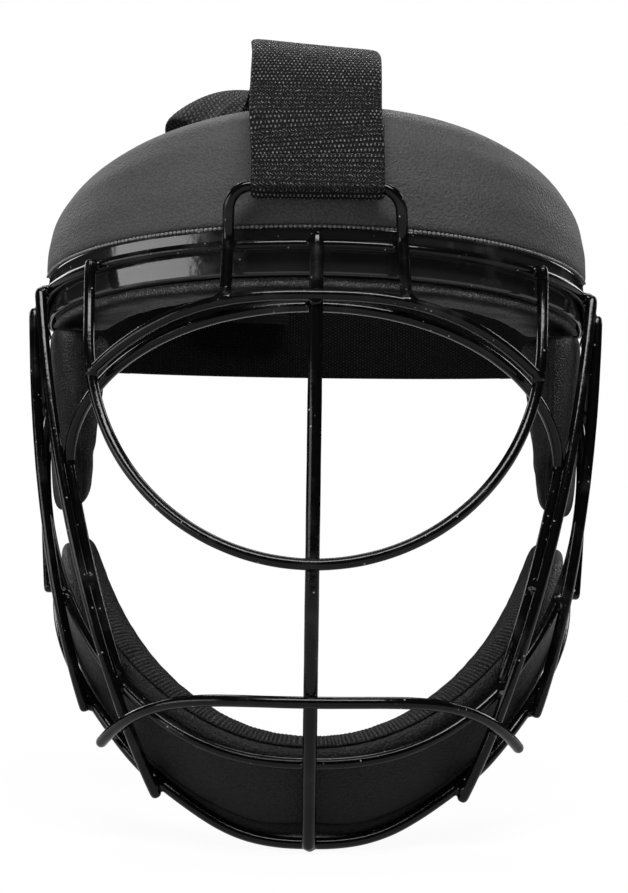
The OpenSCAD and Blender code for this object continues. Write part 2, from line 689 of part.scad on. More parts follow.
tab_out_x = half_w(strip_height(90)) + strip_out - strip_t - soft_gap;
tab_x = tab_out_x - webbing_t / 2;
tab_wrap_r = ring_wire / 2 + soft_gap + webbing_t / 2;
ring_x = tab_x - tab_wrap_r;
ring_front_y = strip_tail + tab_reach;
fold_x = tab_x - webbing_t - soft_gap / 3;
fold_l = 16;
fold_turn = 25;
tab_wrap_steps = 12;
module anchor_tab(side) {
    route = concat(
        [[tab_x, rivet_y - tab_w / 2], [tab_x, rivet_y]],
        arc([ring_x, ring_front_y], tab_wrap_r, 0, 180 + fold_turn, tab_wrap_steps),
        [[fold_x, ring_front_y - fold_l / 2], [fold_x, ring_front_y - fold_l]]);
    color(webbing_grey) on_side(side) difference() {
        intersection() {
            translate([0, 0, rivet_z - tab_w / 2]) linear_extrude(tab_w) polygon(ribbon(route, webbing_t));
            union() {
                across_cylinder(tab_w, 0, cage_w);
                translate([0, rivet_y, rivet_z - tab_w]) cube([cage_w, cage_depth, 2 * tab_w]);
            }
        }
        across_cylinder(rivet_d + 2 * rivet_gap, 0, cage_w);
    }
}
module anchor_tab_left() { anchor_tab(1); }
module anchor_tab_right() { anchor_tab(-1); }

// Rivets: a shank through the strip and the tab, with a head on each side

head_t = 1.3;
module harness_rivet(side) {
    inner_x = tab_out_x - webbing_t - soft_gap;
    outer_x = tab_out_x + soft_gap + strip_t;
    color(rivet_black) on_side(side) union() {
        across_cylinder(rivet_d, inner_x - head_t / 2, outer_x + head_t / 2);
        across_cylinder(rivet_head_d, inner_x - head_t, inner_x);
        across_cylinder(rivet_head_d, outer_x, outer_x + head_t);
    }
}
module harness_rivet_left() { harness_rivet(1); }
module harness_rivet_right() { harness_rivet(-1); }

// Rings: rectangles of wire that stand upright between the tabs and the back band

ring_bend = 3;
ring_half_h = band_h / 2 + ring_room + ring_wire / 2;
ring_rear_y = ring_front_y + ring_gap + ring_wire;
module ring_bar(from, to) {
    way = to - from;
    translate(from) rotate([way[1] == 0 ? 0 : -90, 0, 0])
        cylinder(d = ring_wire, h = norm(way), $fn = bore_sides);
}
module ring_corner(y, z, turn) {
    translate([ring_x, y, z]) rotate([turn, 0, 0]) rotate([0, 90, 0])
        rotate_extrude(angle = 90, $fn = bore_sides)
            translate([ring_bend, 0]) circle(d = ring_wire, $fn = bore_sides);
}
module strap_ring(side) {
    y0 = ring_front_y;
    y1 = ring_rear_y;
    low = rivet_z - ring_half_h;
    high = rivet_z + ring_half_h;
    color(ring_grey) on_side(side) union() {
        ring_bar([ring_x, y0, low + ring_bend], [ring_x, y0, high - ring_bend]);
        ring_bar([ring_x, y1, low + ring_bend], [ring_x, y1, high - ring_bend]);
        ring_bar([ring_x, y0 + ring_bend, low], [ring_x, y1 - ring_bend, low]);
        ring_bar([ring_x, y0 + ring_bend, high], [ring_x, y1 - ring_bend, high]);
        ring_corner(y1 - ring_bend, low + ring_bend, 0);
        ring_corner(y1 - ring_bend, high - ring_bend, 90);
        ring_corner(y0 + ring_bend, high - ring_bend, 180);
        ring_corner(y0 + ring_bend, low + ring_bend, 270);
    }
}
module strap_ring_left() { strap_ring(1); }
module strap_ring_right() { strap_ring(-1); }

// Back band: elastic round the back of the head that turns through the rings and folds back on itself

band_wrap_r = ring_wire / 2 + soft_gap + band_t / 2;
band_x = ring_x - band_wrap_r;
band_depth = band_back - ring_rear_y;
band_rings = 30;
band_root = 3;
band_wrap_steps = 10;
// A point of the band's middle line, or beside it: a is 90 at the left ring and 0 at the back
function band_place(a, out = 0) =
    let (n = unit([band_depth * sin(a), band_x * cos(a)]))
    [band_x * sin(a), ring_rear_y + band_depth * cos(a)] + out * n;
band_wrap = concat(
    arc([ring_x, ring_rear_y], band_wrap_r, 180, 360, band_wrap_steps),
    [[ring_x + band_wrap_r, ring_rear_y + band_root]]);
module band_sheet(route) {
    color(webbing_grey) translate([0, 0, rivet_z - band_h / 2]) linear_extrude(band_h)
        polygon(ribbon(route, band_t));
}
module back_band() {
    band_sheet(concat(
        mirrored(reversed(band_wrap)),
        [for (i = [1 : band_rings - 1]) band_place(180 * i / band_rings - 90)],
        band_wrap));
}

// Flaps: the ends of the band, which peel off its outside and bend at their roots

flap_root_y = ring_rear_y + band_root + soft_gap + band_t / 2;
flap_start = acos((flap_root_y - ring_rear_y) / band_depth);
flap_bend = 65;
flap_turn = flap_l / band_back * flap_bend;
flap_rings = 12;
flap_root_sides = 24;
// The flap stands off the band by the ring's bar at its root, and then lies on it
flap_settle = 0.45;
function flap_place(t) = let (lying = band_t + soft_gap, standing = 2 * band_wrap_r)
    band_place(flap_start - flap_turn * t, lying + (standing - lying) * (1 - smooth(t / flap_settle)));
module band_flap(side) {
    root = [ring_x + band_wrap_r, flap_root_y];
    color(webbing_grey) on_side(side) union() {
        translate([root[0], root[1], rivet_z - band_h / 2])
            cylinder(d = band_t, h = band_h, $fn = flap_root_sides);
        translate([0, 0, rivet_z - band_h / 2]) linear_extrude(band_h)
            polygon(ribbon(concat([root],
                [for (i = [1 : flap_rings]) flap_place(i / flap_rings)]), band_t));
    }
}
module band_flap_left() { band_flap(1); }
module band_flap_right() { band_flap(-1); }

brow_strip();
rim_wire();
brow_wire();
strap_loop();
face_ring_wire();
eye_wire();
centre_bar();
mouth_wire();
upper_jaw_wire();
lower_jaw_wire();
side_wire_front_left();
side_wire_front_right();
side_wire_middle_left();
side_wire_middle_right();
side_wire_rear_left();
side_wire_rear_right();
forehead_pad();
forehead_liner();
temple_pad_left();
temple_pad_right();
chin_pad();
chin_liner();
top_strap();
back_band();
band_flap_left();
band_flap_right();
strap_ring_left();
strap_ring_right();
anchor_tab_left();
anchor_tab_right();
harness_rivet_left();
harness_rivet_right();
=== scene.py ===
# %% [markdown]
# # Hockey face cage
# A face guard of welded wire in a glossy dip coat, with a foam brow pad, leatherette cushions
# at the forehead, temples and chin, a wide webbing strap over the head and an elastic band
# behind it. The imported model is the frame: its solids give every place and size, and this
# script dresses them with finer meshes and with finishes made of shader nodes.

import math

import bmesh
import bpy
import numpy as np
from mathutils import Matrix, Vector, noise


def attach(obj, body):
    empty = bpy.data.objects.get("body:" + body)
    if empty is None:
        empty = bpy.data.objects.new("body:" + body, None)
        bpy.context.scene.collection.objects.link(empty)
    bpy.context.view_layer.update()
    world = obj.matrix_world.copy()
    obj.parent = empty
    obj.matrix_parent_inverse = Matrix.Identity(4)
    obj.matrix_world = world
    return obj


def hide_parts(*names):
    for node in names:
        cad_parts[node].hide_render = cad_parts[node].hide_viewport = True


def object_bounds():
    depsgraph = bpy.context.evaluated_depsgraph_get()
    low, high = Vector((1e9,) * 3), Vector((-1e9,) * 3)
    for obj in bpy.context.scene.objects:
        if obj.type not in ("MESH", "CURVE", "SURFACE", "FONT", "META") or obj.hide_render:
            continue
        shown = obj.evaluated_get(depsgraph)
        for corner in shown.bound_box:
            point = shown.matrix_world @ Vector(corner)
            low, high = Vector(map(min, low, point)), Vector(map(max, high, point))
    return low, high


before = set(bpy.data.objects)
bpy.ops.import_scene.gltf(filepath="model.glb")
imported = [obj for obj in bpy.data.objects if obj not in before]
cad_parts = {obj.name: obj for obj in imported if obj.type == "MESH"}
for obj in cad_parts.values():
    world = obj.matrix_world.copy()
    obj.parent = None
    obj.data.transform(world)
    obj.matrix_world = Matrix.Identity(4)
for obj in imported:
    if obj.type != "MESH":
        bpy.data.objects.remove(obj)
cad_box = [list(corner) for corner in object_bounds()]
MM = 0.001
# The wearer's left is +X
BOTH_SIDES = ((1, "left"), (-1, "right"))

# %% [markdown]
# ## Shader maths
# A finish is worked out from a few patterns, and sums read best as sums. `Field` wraps a
# shader socket, so that an expression such as `1 - grain * 0.4` adds its Math nodes. All
# other nodes come from `Finish.node`, which sets a node's settings first and its sockets next.


# %% Sockets that take part in sums
class Field:
    """A number that varies over a surface."""

    def __init__(self, finish, socket):
        self.finish, self.socket = finish, socket

    def math(self, operation, *others):
        return self.finish.node("ShaderNodeMath", {"operation": operation}, [self, *others])

    def __add__(self, other):
        return self.math("ADD", other)

    def __sub__(self, other):
        return self.math("SUBTRACT", other)

    def __mul__(self, other):
        return self.math("MULTIPLY", other)

    def __rsub__(self, other):
        return self.finish.node("ShaderNodeMath", {"operation": "SUBTRACT"}, [other, self])

    __radd__, __rmul__ = __add__, __mul__

    def wave(self, pitch):
        """Rises and falls between 0 and 1, once in each pitch."""
        return (self * (2 * math.pi / pitch)).math("SINE") * 0.5 + 0.5

    def ramp(self, low, high):
        """0 below low, 1 above high, and smooth between them."""
        sockets = {"Value": self, "From Min": low, "From Max": high}
        return self.finish.node("ShaderNodeMapRange", {"interpolation_type": "SMOOTHSTEP"}, sockets)


# %% A finish is one material
class Finish:
    """A material, or a world, whose varying sockets are fed by fields."""

    def __init__(self, name, world=None, **constants):
        self.material = world or bpy.data.materials.new(name)
        self.material.use_nodes = True
        self.tree = self.material.node_tree
        self.shader = self.tree.nodes["Background" if world else "Principled BSDF"]
        for socket, value in constants.items():
            self.shader.inputs[socket.replace("_", " ")].default_value = value

    def node(self, kind, settings=None, sockets=None, output=0):
        made = self.tree.nodes.new(kind)
        for key, value in (settings or {}).items():
            setattr(made, key, value)
        pairs = sockets.items() if isinstance(sockets, dict) else enumerate(sockets or [])
        for key, value in pairs:
            self.feed(made.inputs[key], value)
        return Field(self, made.outputs[output])

    def feed(self, socket, value):
        if isinstance(value, Field):
            self.tree.links.new(value.socket, socket)
        else:
            socket.default_value = value

    def place(self):
        return self.node("ShaderNodeTexCoord", output="Object")

    def noise(self, size_mm, detail=2.0):
        """Soft clouds about as wide as size_mm."""
        sockets = {"Vector": self.place(), "Scale": 1 / (size_mm * MM), "Detail": detail}
        return self.node("ShaderNodeTexNoise", None, sockets)

    def cells(self, size_mm, feature="F1"):
        """Pebbles about as wide as size_mm."""
        sockets = {"Vector": self.place(), "Scale": 1 / (size_mm * MM)}
        return self.node("ShaderNodeTexVoronoi", {"feature": feature}, sockets)

    def blend(self, share, first, second):
        """A colour between two colours, which are triples or fields."""
        pair = [c if isinstance(c, Field) else (*c, 1) for c in (first, second)]
        sockets = {"Factor": share, 6: pair[0], 7: pair[1]}
        return self.node("ShaderNodeMix", {"data_type": "RGBA"}, sockets, output=2)

    def finish(self, colour, roughness, height, depth_mm, strength=1.0):
        """Feeds colour, roughness and the relief of depth_mm between height 0 and 1."""
        sockets = {"Height": height, "Distance": depth_mm * MM, "Strength": strength}
        bump = self.node("ShaderNodeBump", None, sockets)
        self.feed(self.shader.inputs["Base Color"], colour)
        self.feed(self.shader.inputs["Roughness"], roughness)
        self.feed(self.shader.inputs["Normal"], bump)
        return self.material


def grey(level):
    """A neutral with the trace of blue that black plastic has."""
    return (level, level, level * 1.015 + 0.0001)


# %% [markdown]
# ## The dip coat
# The cage is welded from steel wire, then dipped in black plastic. The coat is glossy but
# never quite even: it runs a little, so highlights waver along a wire, and fine dust and
# handling marks dull it in places. Two noises, a wide one and a fine one, give both.


# %% Dip coat
def dip_coat(name, relief, mirror, dark=grey(0.0015), pale=grey(0.008)):
    coat = Finish(name, Specular_IOR_Level=mirror)
    # Every size of a pattern is in millimetres
    runs, peel, marks = coat.noise(9), coat.noise(1.6), coat.noise(14, 5.0)
    dust = marks.ramp(0.52, 0.75)
    specks = coat.cells(2.9).ramp(0.14, 0.07) * coat.noise(7).ramp(0.52, 0.6)
    colour = coat.blend(dust, dark, pale)
    colour = coat.blend(specks, colour, grey(0.2))
    roughness = 0.12 + dust * 0.12 + specks * 0.2
    return coat.finish(colour, roughness, runs * 0.7 + peel * 0.3, relief, 0.35)


wire_coat = dip_coat("dip_coat_on_wire", 0.5, 0.15)
strip_coat = dip_coat("dip_coat_on_strip", 0.35, 0.4, grey(0.009), grey(0.03))
rivet_coat = dip_coat("dip_coat_on_rivets", 0.12, 0.2)
print("dip coats:", wire_coat.name, strip_coat.name, rivet_coat.name)

# %% [markdown]
# ## Moulded foam
# The brow pad and the chin pad are dense moulded foam with a charcoal skin. Close to, the skin
# has fine pores and a faint leathery grain, and it looks paler where it is rubbed.


# %% Foam
def foam_skin(name, dark, pale, gloss, sheen):
    foam = Finish(name, Specular_IOR_Level=sheen)
    pores, grain, clouds = foam.cells(0.9), foam.noise(0.9, 3.0).ramp(0.3, 0.7), foam.noise(22, 4.0)
    pits = foam.cells(5.5).ramp(0.1, 0.04) * foam.noise(9).ramp(0.5, 0.6)
    flecks = foam.noise(0.45, 1.0).ramp(0.64, 0.74)
    colour = foam.blend(grain * 0.5 + clouds * 0.4 + flecks * 0.9 - pits * 0.4, dark, pale)
    roughness = gloss + clouds * 0.12 + grain * 0.1
    return foam.finish(colour, roughness, pores * 0.4 + grain * 0.6 - pits, 0.4, 0.75)


pad_foam = foam_skin("charcoal_foam", grey(0.024), grey(0.05), 0.5, 0.15)
chin_foam = foam_skin("black_foam", grey(0.0025), grey(0.012), 0.32, 0.09)
print("foams:", pad_foam.name, chin_foam.name)

# %% [markdown]
# ## Leatherette
# The cushions against the skin are wrapped in leatherette: a satin black film with a pebbled
# grain about a millimetre wide, and soft creases where it is pulled round an edge.


# %% Leatherette
def leatherette(name, dark, pale, gloss, grain_mm, sheen):
    film = Finish(name, Specular_IOR_Level=sheen)
    painted_glint = film.node("ShaderNodeAttribute", {"attribute_name": "painted_glint"}, output="Fac")
    pebbles = film.cells(grain_mm, "DISTANCE_TO_EDGE").ramp(0.0, 0.25)
    creases = film.noise(4, 5.0)
    wear = film.noise(16, 3.0).ramp(0.45, 0.7)
    sparkle = film.noise(0.55, 3.0).ramp(0.5, 0.66)
    # Painted highlight: where the point attribute is high, pale sparkle is painted into the colour, as
    # painted glints on the brow liner's roll and on the crests of the chin pleats
    colour = film.blend(wear * 0.06 + creases * 0.04 + painted_glint * (sparkle * 0.7 + 0.2), dark, pale)
    roughness = gloss + wear * 0.12 + (1 - pebbles) * 0.15
    return film.finish(colour, roughness, pebbles * 0.5 + sparkle * painted_glint * 0.5 + creases * 0.3, 0.5, 0.9)


cushion_film = leatherette("satin_leatherette", grey(0.003), grey(0.075), 0.42, 1.1, 0.06)
brow_film = leatherette("pebbled_leatherette", grey(0.0035), grey(0.17), 0.5, 0.8, 0.07)
print("leatherettes:", cushion_film.name, brow_film.name)

# %% [markdown]
# ## Webbing and elastic
# Webbing is woven from shiny yarn. Its glints, rows of short dashes, are painted into its
# colour as painted highlight, and the weave's relief is real. Every strap carries a point attribute,
# `weave`, with each point's distance across and along the strap in millimetres, and the pattern
# is worked out from it, so that it follows every bend.


# %% Woven straps
def woven(name, dark, pale, row_mm, dash_mm, sheen, twill_bands=(), painted_shade=()):
    cloth = Finish(name, Specular_IOR_Level=sheen)
    weave = cloth.node("ShaderNodeAttribute", {"attribute_name": "weave"}, output="Vector")
    parts = cloth.node("ShaderNodeSeparateXYZ", None, [weave])
    across, along = parts, Field(cloth, parts.socket.node.outputs[1])
    turn = (along * (1 / row_mm)).math("FLOOR").math("MODULO", 2.0)
    rows = along.wave(row_mm)
    dashes = (across + turn * (dash_mm / 2)).wave(dash_mm)
    pattern = rows.ramp(0.1, 0.6) * (dashes * 0.8 + 0.2)
    if twill_bands:
        zigzag = along.wave(row_mm * 2.0) * row_mm + cloth.noise(1.7, 1.0) * 2.4
        herring = (across + zigzag).wave(dash_mm * 0.9) * 0.7 + rows * 0.3
        edge = along + cloth.noise(6, 1.0) * 2
        bands = [edge.ramp(low, low + 1) * (1 - edge.ramp(high, high + 1)) for low, high in twill_bands]
        zones = sum(bands[1:], bands[0])
        pattern = pattern * (1 - zones) + herring * zones * 0.85
    fray = cloth.noise(0.6, 4.0)
    # Painted highlight: the yarn's glints are a pale colour where the weave pattern rises
    painted_yarn_glint = pattern.ramp(0.45, 1.0) * fray.ramp(0.36, 0.72)
    # Painted shade: the painted glint is darkened by a share between these marks along the strap
    for low, high, share in painted_shade:
        painted_yarn_glint = painted_yarn_glint * (1 - along.ramp(low, high) * share)
    colour = cloth.blend(painted_yarn_glint, dark, pale)
    return cloth.finish(colour, 0.7 - painted_yarn_glint * 0.3, pattern * 0.8 + fray * 0.2, 0.5, 0.9)


# Millimetres along the top strap where it is woven as twill, and where painted shade takes away a
# share of its painted glint: on the ribbed bump and at the rear end, which lie in shade
TWILL_BANDS, PAINTED_SHADE = ((32, 42), (50, 55), (60.5, 71.5)), ((100, 112, 0.4), (262, 285, 1.0))
strap_cloth = woven("black_webbing", grey(0.003), grey(0.16), 1.65, 1.35, 0.06,
                    TWILL_BANDS, PAINTED_SHADE)
# Painted shade: the elastic is coloured darker than black elastic is, as it lies in shade inside the guard
band_cloth = woven("elastic_darkened_as_painted_shade", grey(0.002), grey(0.01), 1.2, 1.3, 0.03)
# The pad's cord is grey thread made paler still, as painted highlight along the pad's lower edge
pad_cord_paled_as_painted_highlight = woven("pad_cord_paled_as_painted_highlight", grey(0.12), grey(0.6), 0.5, 0.4, 0.2)
thread = woven("sewing_thread", grey(0.06), grey(0.42), 0.5, 0.4, 0.15)
print("cloths:", strap_cloth.name, band_cloth.name, thread.name)

# %% [markdown]
# ## Mesh helpers
# Nearly every piece here is a loft: a row of closed rings with a skin of quads between them.
# `loft` makes one in millimetres and scales it to metres. `dress` gives a piece its body and
# hides the solids that it stands for, in one line.


# %% Lofts
def unit(v):
    return v / np.linalg.norm(v, axis=-1, keepdims=True)


def travelled(points):
    """For each point of a line, its distance from the start along the line."""
    return np.cumsum(np.r_[0, np.linalg.norm(np.diff(points, axis=0), axis=1)])


def in_scene(name, data):
    """A new object in the scene, from a mesh, a lamp or other data."""
    made = bpy.data.objects.new(name, data)
    bpy.context.scene.collection.objects.link(made)
    return made


def new_piece(name, points, faces, finish):
    mesh = bpy.data.meshes.new(name)
    mesh.from_pydata(np.asarray(points, float) * MM, [], faces)
    work = bmesh.new()
    work.from_mesh(mesh)
    bmesh.ops.recalc_face_normals(work, faces=work.faces)
    work.to_mesh(mesh)
    work.free()
    mesh.shade_smooth()
    mesh.materials.append(finish)
    return in_scene(name, mesh)


def quads(rows, columns, start=0, closed=True):
    """Faces between rings of points."""
    around = columns if closed else columns - 1
    return [
        (start + i * columns + j, start + i * columns + (j + 1) % columns,
         start + (i + 1) * columns + (j + 1) % columns, start + (i + 1) * columns + j)
        for i in range(rows - 1) for j in range(around)
    ]


def loft(name, rings, finish):
    """A closed skin over rings of points, with a point in the middle of each end."""
    rings = np.asarray(rings, float)
    rows, columns = rings.shape[:2]
    points = [*rings.reshape(-1, 3), rings[0].mean(0), rings[-1].mean(0)]
    first, last = rows * columns, (rows - 1) * columns
    faces = quads(rows, columns)
    faces += [(first, (j + 1) % columns, j) for j in range(columns)]
    faces += [(first + 1, last + j, last + (j + 1) % columns) for j in range(columns)]
    return new_piece(name, points, faces, finish)


def at_marks(marks, reach, values):
    """The values that go with points at reach along a line, worked out at marks along it."""
    return np.stack([np.interp(marks, reach, column) for column in values.T], -1)


def mark(piece, name, values):
    """Keeps a number or a vector for each point of a piece, for its finish to read."""
    values = np.asarray(values, np.float32)
    kind, field = ("FLOAT", "value") if values.ndim == 1 else ("FLOAT_VECTOR", "vector")
    piece.data.attributes.new(name, kind, "POINT").data.foreach_set(field, values.ravel())


def dress(piece, body, slot, *nodes):
    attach(piece, body)
    if nodes:
        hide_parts(*nodes)
    return piece


# %% [markdown]
# ## The cage's surface
# All wires and pads lie on, inside or outside one surface: an ellipse at each height, widest
# at the brow, fullest at the nose and drawn in at the chin. An angle round the head and a
# height give a point on it, the same way as in the solid model.


# %% The surface
CAGE_W, CAGE_DEPTH = 212, 104
WIDEST_Z, JAW_REACH, JAW_FULLNESS = 60, 230, 2.8
NOSE_Z, BROW_LEAN, CHIN_LEAN = -50, 13.4, 8.5


def smooth(t):
    t = min(1, max(0, t))
    return t * t * (3 - 2 * t)


def sin(a):
    return math.sin(math.radians(a))


def cos(a):
    return math.cos(math.radians(a))


def half_w(z):
    u = min(0.98, max(0, (WIDEST_Z - z) / JAW_REACH))
    return CAGE_W / 2 * (1 - u**JAW_FULLNESS) ** (1 / JAW_FULLNESS)


def half_depth(z):
    rise = z - NOSE_Z
    return CAGE_DEPTH - (BROW_LEAN * (rise / 100) ** 2 if rise > 0 else CHIN_LEAN * (rise / 50) ** 2)


def cage_normal(a, z):
    w, d = half_w(z), half_depth(z)
    w_slope, d_slope = half_w(z + 0.5) - half_w(z - 0.5), half_depth(z + 0.5) - half_depth(z - 0.5)
    rise = -(w * d_slope * cos(a) ** 2 + d * w_slope * sin(a) ** 2)
    return unit(np.array([d * sin(a), -w * cos(a), rise]))


def cage_point(a, z, out=0.0):
    return np.array([half_w(z) * sin(a), -half_depth(z) * cos(a), z]) + out * cage_normal(a, z)


def at_angle(a, z, out=0.0):
    return cage_point(a, z, out), cage_normal(a, z)


def at_x(x, z, out=0.0):
    return at_angle(math.degrees(math.asin(x / half_w(z))), z, out)


print("half-width at the brow:", round(half_w(WIDEST_Z), 1), "mm")

# %% [markdown]
# ## Routes of the wires
# Each wire is a list of stations: a point of its centre line and the way out of the cage
# there. Two wires that cross lie one wire apart, less the 0.3 mm that a weld sinks.

# %% Heights of the hoops
WIRE_R, BAR_R, WELD_SINK = 2.0, 2.4, 0.3
LAYER = 2 * WIRE_R - WELD_SINK
RIM_Z, RIM_DROP, RIM_SAG, REAR_DIP = 69.5, 16, 3.8, 9
UPPER_JAW_Z, UPPER_JAW_RISE, UPPER_JAW_CURL = -107.5, 106, 1.25
LOWER_JAW_Z, LOWER_JAW_RISE, LOWER_JAW_FLAT, LOWER_JAW_KICK = -137.5, 79, 1.8, 4


def strip_height(a):
    return RIM_Z - RIM_DROP * (1 - cos(a))


def rim_height(a):
    return strip_height(a) - RIM_SAG * (1 - cos(a)) - REAR_DIP * smooth((abs(a) - 68) / 24)


def upper_jaw_height(a):
    return UPPER_JAW_Z + UPPER_JAW_RISE * (1 - cos(a)) ** UPPER_JAW_CURL


def lower_jaw_height(a):
    flat = LOWER_JAW_FLAT * smooth(abs(a) / 22) * smooth((40 - abs(a)) / 18)
    kick = LOWER_JAW_KICK * smooth((abs(a) - 44) / 16) * smooth((92 - abs(a)) / 24)
    return LOWER_JAW_Z + LOWER_JAW_RISE * (1 - cos(a)) - flat + kick


def hoop(end, height):
    return [at_angle(a, height(a), -LAYER) for a in np.linspace(-end, end, 150)]


print("rim beside the temple:", round(rim_height(90), 1), "mm")

# %% Side wires and face ring
# Degrees at the top and at the foot of each pair, how far it bows, and its reach past the jaw wire
FRONT, MIDDLE, REAR = (72, 40, -2, 3), (80, 60, -1.5, 1), (89, 92, 7, 1)
SIDE_WIRES = {"front": FRONT, "middle": MIDDLE, "rear": REAR}


def side_angle(wire, t):
    top, low, bow, _ = wire
    return top + (low - top) * t + bow * 4 * t * (1 - t)


def side_ends(wire):
    top, low, _, past = wire
    return rim_height(top) + 1, lower_jaw_height(low) - past


def side_route(side, wire):
    top_z, low_z = side_ends(wire)
    return [at_angle(side * side_angle(wire, t), top_z + (low_z - top_z) * t)
            for t in np.linspace(0, 1, 90)]


def front_angle(z):
    top_z, low_z = side_ends(FRONT)
    return side_angle(FRONT, (top_z - z) / (top_z - low_z))


RING_Z, RING_SIDE_Z = 48, -7
ring_low_z = RING_SIDE_Z
# The ring's end lies on the upper jaw wire, whose height depends on where the end is
for _ in range(16):
    ring_low_z = upper_jaw_height(front_angle(ring_low_z))
ring_low_z += LAYER * 0.75
ring_side_x = half_w(RING_SIDE_Z) * sin(front_angle(RING_SIDE_Z))
ring_down = list(np.linspace(RING_SIDE_Z, ring_low_z, 50))[1:]
face_ring = [at_angle(-front_angle(z), z, -LAYER) for z in reversed(ring_down)]
ring_rise = RING_Z - RING_SIDE_Z
face_ring += [at_x(-ring_side_x * cos(a), RING_SIDE_Z + ring_rise * sin(a), -LAYER)
              for a in np.linspace(0, 180, 110)]
face_ring += [at_angle(front_angle(z), z, -LAYER) for z in ring_down]
print("face ring: from", RING_Z, "down to", round(ring_low_z, 1), "mm")

# %% Eye, brow and mouth wires
EYE_HALF_W, EYE_SPREAD, EYE_LEG_Z, EYE_LOW_Z = 75.5, 3.7, 37, -38.5
BROW_Z, BROW_DROP = 49.5, 24
MOUTH_Z, MOUTH_HALF_W, MOUTH_DROP = -83, 70, 20
eye_top_z = rim_height(math.degrees(math.asin((EYE_HALF_W + EYE_SPREAD) / half_w(RIM_Z)))) + 1
brow_end_z = BROW_Z - BROW_DROP


def eye_layer(z):
    return LAYER * (1 - smooth((z - brow_end_z) / (eye_top_z - 2 * WIRE_R - brow_end_z)))


def eye_x(x, z):
    return x * (1 + EYE_SPREAD / EYE_HALF_W * (1 - eye_layer(z) / LAYER))


eye_drop = EYE_LEG_Z - EYE_LOW_Z
eye_leg = [(EYE_HALF_W, z) for z in np.linspace(eye_top_z, EYE_LEG_Z, 22)[:-1]]
eye_bend = [(-EYE_HALF_W * cos(a), EYE_LEG_Z - eye_drop * sin(a)) for a in np.linspace(0, 180, 130)]
eye_path = [*((-x, z) for x, z in eye_leg), *eye_bend, *reversed(eye_leg)]
eye_wire = [at_x(eye_x(x, z), z, eye_layer(z)) for x, z in eye_path]

eye_reach = EYE_HALF_W * math.sqrt(1 - ((EYE_LEG_Z - brow_end_z) / eye_drop) ** 2)
brow_end_x = eye_reach - WIRE_R + WELD_SINK


def brow_height(x):
    return BROW_Z - BROW_DROP * (abs(x) / brow_end_x) ** 2.8


brow_wire = [at_x(x, brow_height(x), LAYER) for x in np.linspace(-brow_end_x, brow_end_x, 110)]
mouth_wire = [at_x(x, MOUTH_Z - MOUTH_DROP * (abs(x) / MOUTH_HALF_W) ** 4.6, LAYER)
              for x in (MOUTH_HALF_W * sin(90 * t) for t in np.linspace(-1, 1, 120))]
print("brow wire:", round(2 * brow_end_x, 1), "mm wide between the legs of the eye wire")

# %% Strap loop and centre bar
LOOP_HALF_W, LOOP_SPREAD, LOOP_Z, LOOP_LEAN, LOOP_BEND, LOOP_BAR_HALF = 29.2, 1.3, 87.5, 3.5, 8.2, 18
# The strap turns on the loop's bar, so the bar's middle lies on the pivot
LOOP_BAR_Y = -85.24
# The loop is bent by hand, and its top stands a little to the wearer's right
LOOP_ASIDE = -0.9
loop_foot_z = brow_height(LOOP_HALF_W + LOOP_SPREAD)


def loop_station(x, z):
    h = min(z, RIM_Z)
    flat = half_depth(h) - half_depth(RIM_Z) - LOOP_BAR_Y - LOOP_LEAN
    y = -flat - LOOP_LEAN * smooth((z - RIM_Z) / (LOOP_Z - RIM_Z))
    aside = LOOP_ASIDE * (z - loop_foot_z) / (LOOP_Z - loop_foot_z)
    return np.array([x + aside, y, z]), np.array([0.0, -1.0, 0.0])


loop_leg_h = LOOP_Z - LOOP_BEND - loop_foot_z
loop_side = [(LOOP_HALF_W + LOOP_SPREAD * (1 - t), loop_foot_z + loop_leg_h * t)
             for t in np.linspace(0, 1, 24)]
loop_side += [(LOOP_HALF_W - LOOP_BEND * (1 - cos(a)), LOOP_Z - LOOP_BEND * (1 - sin(a)))
              for a in np.linspace(0, 90, 12)[1:]]
loop_bar = [(x, LOOP_Z) for x in np.linspace(-LOOP_BAR_HALF, LOOP_BAR_HALF, 13)]
loop_path = [*((-x, z) for x, z in loop_side), *loop_bar, *reversed(loop_side)]
strap_loop = [loop_station(x, z) for x, z in loop_path]
centre_bar = [at_angle(0, z) for z in np.linspace(RIM_Z + BAR_R, LOWER_JAW_Z + 1, 110)]

rear_middle = (REAR[0] + REAR[1]) / 2 + REAR[2]
routes = {
    "rim_wire": hoop(REAR[0] + 3, rim_height), "brow_wire": brow_wire, "strap_loop": strap_loop,
    "face_ring_wire": face_ring, "eye_wire": eye_wire, "centre_bar": centre_bar, "mouth_wire": mouth_wire,
    "upper_jaw_wire": hoop(rear_middle + 1.5, upper_jaw_height),
    "lower_jaw_wire": hoop(REAR[1] + 3, lower_jaw_height),
}
for side, word in BOTH_SIDES:
    for place, wire in SIDE_WIRES.items():
        routes[f"side_wire_{place}_{word}"] = side_route(side, wire)
routes = {name: (np.array([s[0] for s in route]), np.array([s[1] for s in route]))
          for name, route in routes.items()}
print("wires:", len(routes))

# %% [markdown]
# ## Wires
# A wire is a round tube along its route. The coat is thicker in some places than in others,
# so the radius swells and thins by about a hundredth, and the dip rounds every cut end.

# %% Tubes
TUBE_SIDES = 24
END_PROFILE = [(0.0, 0.3), (0.1, 0.62), (0.35, 0.86), (0.75, 0.97)]


